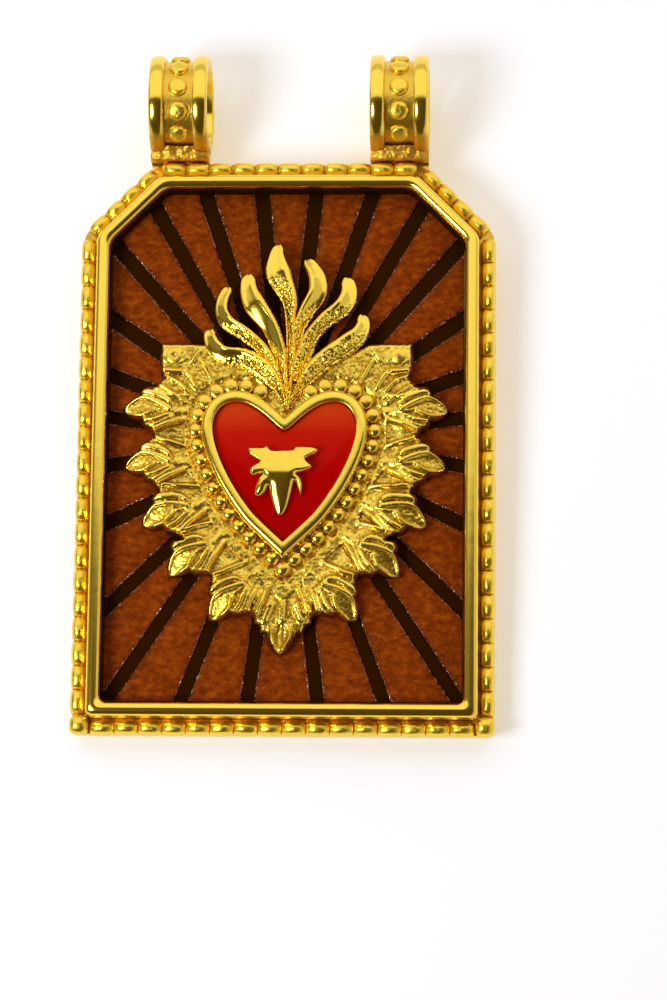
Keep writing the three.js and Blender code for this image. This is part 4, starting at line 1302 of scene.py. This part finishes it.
# %% Rivets
HEAD_RADIUS = 0.6
HEAD_THICKNESS = 0.2
HEAD_PROUD = 0.04
PINK_RADIUS = 0.17
KNOB = 0.04
RIVET_SIDES = 36
SHANK_RADIUS = 0.35
TAIL_RADIUS = 0.62
TAIL_LENGTH = 0.4
PIN_POINT = 0.02
rivet_low, rivet_high = box_mm("wreath_rivet_right")
pad_y = FIELD_Y - PADS[0][2]
tail_y = rivet_high[1]
around = np.linspace(0, 2 * math.pi, RIVET_SIDES, endpoint=False)
for word, side in SIDES:
    middle = (side * (rivet_low[0] + rivet_high[0]) / 2, (rivet_low[2] + rivet_high[2]) / 2)
    face_y = pad_y - HEAD_PROUD
    # Radius, depth, mark.
    profile = [
        (PIN_POINT, tail_y, 0), (TAIL_RADIUS, tail_y, 0), (TAIL_RADIUS, tail_y - TAIL_LENGTH / 2, 0),
        (SHANK_RADIUS, tail_y - TAIL_LENGTH, 0), (SHANK_RADIUS, pad_y + HEAD_THICKNESS, 0),
        (HEAD_RADIUS * 0.9, pad_y + HEAD_THICKNESS, 0), (HEAD_RADIUS, pad_y, 0),
        (HEAD_RADIUS * 0.93, face_y, 0), (PINK_RADIUS * 1.3, face_y, 0),
        (PINK_RADIUS, face_y - side * KNOB / 2, 1), (PINK_RADIUS * 0.6, face_y - side * KNOB, 1),
        (PIN_POINT, face_y - side * KNOB, 1),
    ]
    circle = np.column_stack([np.cos(around), np.sin(around)])
    rivet = Body()
    rivet_marks = np.repeat([mark for _, _, mark in profile], RIVET_SIDES)
    rivet.loops([at_depth(middle + r * circle, y) for r, y, _ in profile], mark=rivet_marks)
    rivet.make("rivet_head_" + word, rivet_gold, "rivet_gold", "wreath_rivet_" + word)

# %% [markdown]
# ## Flame
# Seven tongues rise from one root over the cleft. Each is a long pillow: a main face that looks a
# little downwards, a tight roll along its upper edge, and a lower roll. The tongue is high for most
# of its length and sinks towards its blunt tip. So the upper roll shows the light and the main face
# the dark floor. A loft along a curved spine gives that, tongue by tongue.

# %% One tongue
TONGUE_SECTION = [
    (-1, 0.22), (-0.93, 0.42), (-0.8, 0.52), (-0.5, 0.6), (0, 0.8),
    (0.45, 1), (0.75, 0.92), (0.93, 0.6), (1, 0.25),
]
SECTION_STEPS = 25
TONGUE_STEPS = 130
FINE_STEPS = 600
TIP_CROWDING = 1.7
TONGUE_PLACES = [0, 0.12, 0.45, 0.68, 0.88, 1]
TONGUE_RISE = [0.8, 0.95, 1.08, 1.05, 0.72, 0.4]
THINNEST = 0.12
TIP_SHARE = 0.93
STIPPLE_DEPTH = 0.04
STIPPLE_SIZE = 0.26
STIPPLE_SLANT = 0.15
STIPPLE_FADE = (0.12, 0.1)
UPPER_ROLL = (0.7, 0.36)
LOWER_ROLL = (-0.68, 0.16)
ROLL_KEPT_SMOOTH = 0.9


def tongue(body, stations, upper, stippled_to):
    """Stations are [x, height above the middle of the rays, width] from the root to the tip."""
    along = 1 - (1 - np.linspace(0, 1, TONGUE_STEPS)) ** TIP_CROWDING
    fine = spline(stations, FINE_STEPS)
    path = np.column_stack([np.interp(along, np.linspace(0, 1, FINE_STEPS), fine[:, k]) for k in range(3)])
    spine = path[:, :2] + RAY_CENTRE
    left = travelled(spine[::-1])[::-1]
    dome = quarter_round(left, stations[-1][2] / 2)
    width = np.maximum(path[:, 2] * dome, THINNEST)
    ahead = headings(spine)
    side = np.column_stack([ahead[:, 1], -ahead[:, 0]]) * upper
    u, crest = spline(TONGUE_SECTION, SECTION_STEPS).T
    rise = np.interp(along, TONGUE_PLACES, TONGUE_RISE) * (TIP_SHARE + (1 - TIP_SHARE) * dome)
    rolls = np.maximum(*(bump(u - place, size) for place, size in (UPPER_ROLL, LOWER_ROLL)))
    loops, marks = [], []
    for i in range(TONGUE_STEPS):
        points = at_depth(spine[i] + np.outer(u * width[i] / 2, side[i]), FIELD_Y - rise[i] * crest)
        fade = (stippled_to - STIPPLE_FADE[0], stippled_to + STIPPLE_FADE[1])
        struck = 1 - smooth_step(along[i] + STIPPLE_SLANT * u, *fade)
        struck *= 1 - ROLL_KEPT_SMOOTH * rolls
        points[:, 1] += STIPPLE_DEPTH * struck * soft_noise(points, STIPPLE_SIZE, 4.0)
        foot = at_depth(points[[-1, 0]][:, [0, 2]], FIELD_Y)
        loops.append(np.vstack([points, foot]))
        marks.append(np.append(struck, [0, 0]))
    body.loops(loops, mark=np.concatenate(marks))


# %% [markdown]
# ### Seven tongues
# Each tongue is given by a few stations down its middle. It is narrow at the root, where the
# tongues of the real casting run together, and broad at the shoulder, where it turns aside.

# %% Flame
# Each tongue: its stations, which side is its upper one, and how far up it is stippled.
TONGUES = [
    ([(0.1, 1.9, 0.4), (-0.25, 3.05, 0.5), (-0.72, 3.94, 1.1), (-1.81, 5.13, 1.7), (-3.23, 5.96, 1.55),
      (-4.67, 6.24, 1.35), (-5.45, 6.85, 1.3), (-5.8, 7.6, 1.12), (-5.76, 8.3, 0.85)], 1, 0.5),
    ([(-0.4, 3.9, 0.5), (-0.95, 5.3, 0.75), (-1.9, 6.75, 1.0), (-3.19, 7.86, 1.15), (-4.42, 8.67, 1.25),
      (-4.92, 9.58, 1.15), (-4.86, 10.6, 1.0), (-4.42, 11.6, 0.8)], 1, 0.5),
    ([(0.1, 1.9, 0.4), (-0.26, 5.43, 0.87), (-0.57, 6.67, 1.17), (-1.25, 8.45, 1.45), (-2.37, 10.08, 1.85),
      (-2.89, 11.34, 1.5), (-2.93, 12.61, 1.1)], 1, 0.28),
    ([(0.15, 1.9, 0.4), (0.4, 6.17, 0.8), (0.33, 8.86, 0.85), (0.24, 10.53, 1.4), (-0.36, 12.02, 1.95),
      (-0.68, 12.93, 2.1), (-0.77, 13.99, 1.4), (-0.64, 14.95, 0.8)], 1, 0.55),
    ([(0.6, 6.5, 0.8), (0.98, 8.3, 1.0), (1.56, 9.65, 1.3), (2.3, 11.01, 1.55), (2.32, 12.1, 1.5),
      (1.95, 13.0, 1.2), (1.42, 13.75, 0.9)], -1, 0.3),
    ([(0.6, 4.2, 0.8), (1.3, 6.1, 1.3), (1.92, 7.6, 1.2), (2.98, 8.92, 1.25), (4.24, 9.93, 1.5),
      (4.73, 11.08, 1.4), (4.55, 12.35, 1.0)], -1, 0.62),
    ([(0.3, 2.1, 0.4), (0.72, 3.05, 0.5), (1.35, 4.0, 1.0), (2.17, 5.05, 1.44), (3.29, 6.08, 1.64),
      (4.62, 7.04, 1.7), (5.5, 7.8, 1.45), (5.83, 8.6, 1.15), (5.72, 9.42, 0.88)], -1, 0.72),
]
flame = Body()
for stations, upper, stippled_to in TONGUES:
    tongue(flame, stations, upper, stippled_to)
flame.make("chased_flame", stippled_gold, "stippled_gold", "flame")

# %% [markdown]
# ## Palmette
# A small cast palmette is soldered to the middle of the heart: a crossbar with two wings, two hooked
# side leaves below it and a long middle petal. It is cut from a plate like the wreath, and its edge
# is rounded over. It is flat and bright across the top and curves away downwards at the bottom.

# %% Palmette
PALMETTE_EDGE = [
    (-2.71, -1.46), (-2.54, -1.26), (-1.62, -1.25), (-1.36, -1.13), (-1.13, -1.19), (-0.99, -1.41),
    (-0.57, -1.48), (-0.05, -1.45), (0.7, -1.41), (0.93, -1.18), (2.2, -1.21), (2.64, -1.48), (2.32, -1.8),
    (1.69, -2.15), (2.19, -2.68), (1.99, -2.95), (1.47, -3.13), (1.01, -3.22), (1.31, -3.57), (1.46, -4.15),
    (1.33, -4.83), (1.09, -4.39), (0.88, -3.8), (0.74, -4.16), (0.44, -5.27), (0.13, -6.09), (-0.24, -6.39),
    (-0.53, -6.15), (-0.8, -5.45), (-1.01, -4.75), (-1.11, -4.16), (-1.36, -4.62), (-1.85, -4.98),
    (-2.16, -4.72), (-2.1, -4.16), (-1.84, -3.6), (-1.58, -3.25), (-2.28, -3.43), (-2.57, -3.22),
    (-2.54, -2.87), (-2.17, -2.57), (-1.8, -2.33), (-2.06, -2.16), (-2.59, -1.81),
]
PALMETTE_SPACING = 0.06
PALMETTE_CURVE_STEPS = 400
WIDEST_ROLL = 0.6
BAR_ROLL = 0.17
PETAL_ROLL = 0.72
ROLL_WIDENS = (2.7, 3.5)
TOP_TILT = 0.07
TOP_SPAN = (-3.4, -1.1)
PETAL_DROP = 0.5
PETAL_SPAN = (3.0, 6.4)
EDGE_SHARE = 0.55
palmette_low, palmette_high = box_mm("palmette_boss")
palmette_edge = spline(PALMETTE_EDGE[::-1] + PALMETTE_EDGE[-1:], PALMETTE_CURVE_STEPS)[:-1]
flat, triangles, edge_line = cut_plate(palmette_edge, PALMETTE_SPACING)
to_edge = distance_up_to(WIDEST_ROLL, flat, edge_line)
down = -flat[:, 1]
crown = 1 - PETAL_DROP * smooth_step(down, *PETAL_SPAN) - TOP_TILT * smooth_step(-down, *TOP_SPAN)
rolled = quarter_round(to_edge, BAR_ROLL + (PETAL_ROLL - BAR_ROLL) * smooth_step(down, *ROLL_WIDENS))
height = (palmette_high[1] - palmette_low[1]) * crown * (EDGE_SHARE + (1 - EDGE_SHARE) * rolled)
points = at_depth(flat + RAY_CENTRE, palmette_high[1] - height)
palmette = standing_plate(points, triangles, len(edge_line) - 1, palmette_high[1], np.zeros(len(points)))
palmette.make("small_palmette", polished_gold, "polished_gold", "palmette_boss")

# %% [markdown]
# ## Bails
# Each bail is a ring cut from a grooved strip: two polished rails with a channel between them, and
# a row of flat beads in the channel. It stands on a small foot that is soldered to the frame's top
# edge. Low on the front the ring was never polished after soldering, and the foot's face is rough
# and a little hollow. Those places carry the mark, which makes them matt and more orange; the orange
# there is a painted warm reflection of surfaces that face down.

# %% Bail rings
BAIL_SPACING = 17.0
RAIL_WIDTH = 1.15
RAIL_STEPS = 11
RAIL_CROWN = 0.24
RAIL_FLATNESS = 0.7
RAIL_SPREAD = 0.97
RAIL_SLOPE = 0.02
RAIL_DROP = 0.05
CHANNEL_WIDTH = 2.2
CHANNEL_RADIUS = 3.5
CHANNEL_MATT = 0.55
# Degrees over the front, between which the ring was never polished and is painted the warm orange of a
# reflection.
MATT_FROM = (-120, -90)
MATT_TO = (-56, -44)
BORE_RADIUS = 3.05
BORE_EDGE = 0.12
BAIL_STEPS = 128
bail_half = RAIL_WIDTH + CHANNEL_WIDTH / 2
rail_foot = box_mm("bail_right")[1][2] - RAIL_CROWN


def bail_section():
    """Points as [x, radius] round the strip: over both rails and back along the bore."""
    rail = [(0, CHANNEL_RADIUS), (RAIL_SLOPE, rail_foot)]
    for angle in np.linspace(math.pi, 0, RAIL_STEPS)[1:-1]:
        rise = RAIL_CROWN * math.sin(angle) ** RAIL_FLATNESS
        rail.append((RAIL_WIDTH / 2 * (1 + RAIL_SPREAD * math.cos(angle)), rail_foot + rise))
    rail.append((RAIL_WIDTH, rail_foot - RAIL_DROP))
    right = [(CHANNEL_WIDTH / 2 + x, r) for x, r in rail]
    right += [(bail_half, BORE_RADIUS + BORE_EDGE), (bail_half - BORE_EDGE, BORE_RADIUS)]
    return right + [(-x, r) for x, r in reversed(right)]


bail_points = bail_section()
around = np.linspace(0, 2 * math.pi, BAIL_STEPS, endpoint=False)
circle = np.column_stack([np.zeros(BAIL_STEPS), np.cos(around), np.sin(around)])
front_angle = np.degrees(np.arctan2(np.sin(around), -np.cos(around)))
# Low on the front: matt, and painted the warm orange of a reflection.
unpolished_and_warm_reflection = (1 - smooth_step(front_angle, *MATT_TO)) * smooth_step(front_angle, *MATT_FROM)
channel = [CHANNEL_MATT if abs(x) < CHANNEL_WIDTH / 2 + RAIL_SLOPE / 2 else 0 for x, _ in bail_points]
bail_marks = np.maximum.outer(channel, unpolished_and_warm_reflection).ravel()

# %% [markdown]
# ### Feet
# The foot is a block as wide as the ring, filed to fit the frame's edge. Its face was left as it
# was cast: lumpy, a little hollow, leaning forward at the top, and tucked in above the beads.

# %% Feet
FOOT_FRONT = -1.0
FOOT_LEAN = 0.25
FOOT_HOLLOW = 0.14
FOOT_ROUNDING = 0.3
FOOT_TUCK = 0.25
FOOT_COLUMNS = 60
FOOT_ROWS = 22
FOOT_LUMPS = 0.1
FOOT_LUMP_SIZE = 0.5
FOOT_GRAIN = 0.04
FOOT_GRAIN_SIZE = 0.18
LUMPS_INWARDS = 0.6


def foot_block(body, middle_x):
    seat = FRAME_TOP - LEDGE_INSET
    bead_line = FRAME_TOP + ROW_END_GAP
    inner = LEDGE_Y + ROW_END_GAP
    back = plate_high[1]
    sides = [(inner, bead_line), (inner, seat), (back, seat), (back, -CHANNEL_RADIUS)]
    down_face = np.linspace(0, 1, FOOT_ROWS)
    z = (bead_line + CHANNEL_RADIUS) * down_face - CHANNEL_RADIUS
    y = FOOT_FRONT - FOOT_LEAN * (1 - down_face) + FOOT_HOLLOW * np.sin(math.pi * down_face)
    loops = []
    for x in np.linspace(-bail_half, bail_half, FOOT_COLUMNS):
        rounded = y + FOOT_ROUNDING * abs(x / bail_half) ** 5 + FOOT_TUCK * down_face**6
        face = np.column_stack([np.full(FOOT_ROWS, middle_x + x), rounded, z])
        lumps = FOOT_LUMPS * (soft_noise(face, FOOT_LUMP_SIZE, 6.0) + LUMPS_INWARDS)
        face[:, 1] += lumps + FOOT_GRAIN * soft_noise(face, FOOT_GRAIN_SIZE, 2.0)
        loops.append(np.vstack([face] + [(middle_x + x, *side) for side in sides]))
    # The foot's face takes mark 1: matt, and painted the warm orange of a reflection.
    body.loops(loops, mark=np.tile([1] * FOOT_ROWS + [0] * len(sides), FOOT_COLUMNS))


for word, side in SIDES:
    middle_x = side * BAIL_SPACING / 2
    bail = Body()
    bail_loops = [circle * r + LEVEL * (middle_x + x) for x, r in bail_points]
    bail.loops(bail_loops, rows_close=True, mark=bail_marks)
    foot_block(bail, middle_x)
    bail.make("ring_bail_" + word, polished_gold, "polished_gold", "bail_" + word)

# %% [markdown]
# ### Beads in the channels
# Ten flat-topped beads go round each channel at one pitch, from low on the front over the top and
# down the back. They are wider than the border's beads, and each stands by itself.

# %% Bail beads
BAIL_BEADS = 10
BAIL_BEAD_PITCH = 30.5
LOWEST_BEAD = 53
BAIL_BEAD_WIDTH = 1.5
BAIL_BEAD_RISE = 0.45
BAIL_BEAD_SUNK = 0.05
BAIL_BEAD_PROFILE = 0.62
for word, side in SIDES:
    row = Body()
    for i in range(BAIL_BEADS):
        angle = math.radians(i * BAIL_BEAD_PITCH - LOWEST_BEAD)
        outward = np.array([0, -math.cos(angle), math.sin(angle)])
        along = np.array([0, math.sin(angle), math.cos(angle)])
        middle = outward * (CHANNEL_RADIUS - BAIL_BEAD_SUNK) + LEVEL * side * BAIL_SPACING / 2
        half_sizes = (BAIL_BEAD_WIDTH / 2, BAIL_BEAD_WIDTH / 2, BAIL_BEAD_RISE, 0.0)
        row.loops(bead_loops(middle, along, LEVEL, outward, *half_sizes, profile=BAIL_BEAD_PROFILE))
    row.make("bail_pearls_" + word, beaded_gold, "beaded_gold", "bail_bead_row_" + word)

# %% [markdown]
# ## Plate
# The back plate is a plain sheet that nothing hides at the back, so the solid stays and takes the
# polished finish.

# %% Back plate
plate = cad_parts["back_plate"]
plate.data.materials.clear()
plate.data.materials.append(polished_gold)

# %% [markdown]
# ## Floor and light
# The ornament lies on a sheet of white paper, propped by its bails, so the paper is the floor of the
# picture and takes a soft shadow that narrows towards the foot of the frame. Light Path shows the
# lens, the metal and the glass a white sheet, while the shadow stays. From behind the sheet is clear,
# so that the back can be seen.

# %% Paper
PAPER_FROM_AXIS = 4.034
PAPER_SLOPE = 0.04496
PAPER_HALF = 300


def stage_card(name, points, faces, finish):
    """A card in millimetres that only serves the picture."""
    card = new_object(name, new_mesh(name, points, faces, finish))
    return card


white_paper = bpy.data.materials.new("matt_white_paper")
white_paper.use_nodes = True
tree = white_paper.node_tree
tree.nodes.clear()
# The paper's own colour is a little blue and its glow warm, so the shadow on it shows a painted warm tint,
# standing in for light thrown back by the gold.
paper = add(tree, "BsdfDiffuse", {"Color": "#D6E3FA"})
glow = add(tree, "Emission", {"Color": "#FFE4BC", "Strength": 0.43})
light_path = add(tree, "LightPath")
seen = light_path.outputs["Is Camera Ray"]
for ray in ("Is Glossy Ray", "Is Transmission Ray"):
    seen = add(tree, "Math", {0: seen, 1: light_path.outputs[ray]}, operation="MAXIMUM")
shown = add(tree, "MixShader", {0: seen, 1: paper, 2: add(tree, "AddShader", {0: paper, 1: glow})})
behind = add(tree, "NewGeometry").outputs["Backfacing"]
both = add(tree, "MixShader", {0: behind, 1: shown, 2: add(tree, "BsdfTransparent")})
add(tree, "OutputMaterial", {"Surface": both})

paper_up = Vector((0, PAPER_SLOPE, 1)).normalized() * PAPER_HALF
corners = []
for x, z in ((-1, -1), (1, -1), (1, 1), (-1, 1)):
    corners.append(Vector((x * PAPER_HALF, PAPER_FROM_AXIS, 0)) + paper_up * z)
stage_card("floor", corners, [(0, 1, 2, 3)], white_paper)

# %% [markdown]
# ### Screens and lamps
# Gold shows what stands round it, so the light is built as a jeweller's tent: a large soft box
# above, a small cool-white lamp low on the left, and felt screens round the lens. The brown felt in
# front gives the metal its dark bands, and the grey felt on the left gives softer ones. The screens
# and the lamps are hidden from the lens.

# %% Screens and lamps
OBJECT_MIDDLE = Vector((0, 0, -26))
SCREEN_STEPS = 16


def direction(azimuth, elevation):
    """Azimuth 0 points to the lens side and 90 to the right; elevation is over the horizon."""
    a, e = math.radians(azimuth), math.radians(elevation)
    return Vector((math.sin(a) * math.cos(e), -math.cos(a) * math.cos(e), math.sin(e)))


def screen(name, azimuths, elevations, distance, felt, code):
    """A curved screen of felt round the object, between two azimuths and two elevations."""
    finish, _, shader = new_finish(felt)
    plug(shader, {"Base Color": code, "Roughness": 1.0, "Specular IOR Level": 0.0})
    points = []
    for elevation in np.linspace(*elevations, SCREEN_STEPS):
        for azimuth in np.linspace(*azimuths, SCREEN_STEPS):
            points.append(OBJECT_MIDDLE + direction(azimuth, elevation) * distance)
    card = stage_card(name, points, grid_faces(SCREEN_STEPS, SCREEN_STEPS), finish)
    card.visible_camera = False


def soft_box(name, azimuth, elevation, distance, width, height, radiance, hue):
    """An area lamp that looks as bright as radiance says, where 1 is a white page."""
    lamp = bpy.data.lights.new(name, "AREA")
    lamp.shape = "RECTANGLE"
    lamp.size = width * MM
    lamp.size_y = height * MM
    lamp.energy = radiance * math.pi * lamp.size * lamp.size_y
    lamp.color = linear(hue)[:3]
    holder = new_object(name, lamp)
    away = direction(azimuth, elevation)
    holder.location = (OBJECT_MIDDLE + away * distance) * MM
    holder.rotation_mode = "QUATERNION"
    holder.rotation_quaternion = away.to_track_quat("Z", "Y")
    holder.visible_camera = False


screen("dark_screen", (-60, 45), (-88, 9.5), 250, "brown_felt", "#665024")
screen("left_screen", (-110, -60), (-40, 30), 330, "grey_felt", "#B0AEA8")
soft_box("soft_box_above", 0, 42, 450, 1070, 580, 0.4, "#FFFFFF")
soft_box("lamp_low_left", -34, -17, 235, 85, 85, 14, "#F8FBFF")

world = bpy.data.worlds.new("studio_room")
world.use_nodes = True
plug(world.node_tree.nodes["Background"], {"Color": "#FFFCF6", "Strength": 0.68})
bpy.context.scene.world = world
bpy.context.scene.view_settings.view_transform = "Standard"
print("screens and lamps stand")
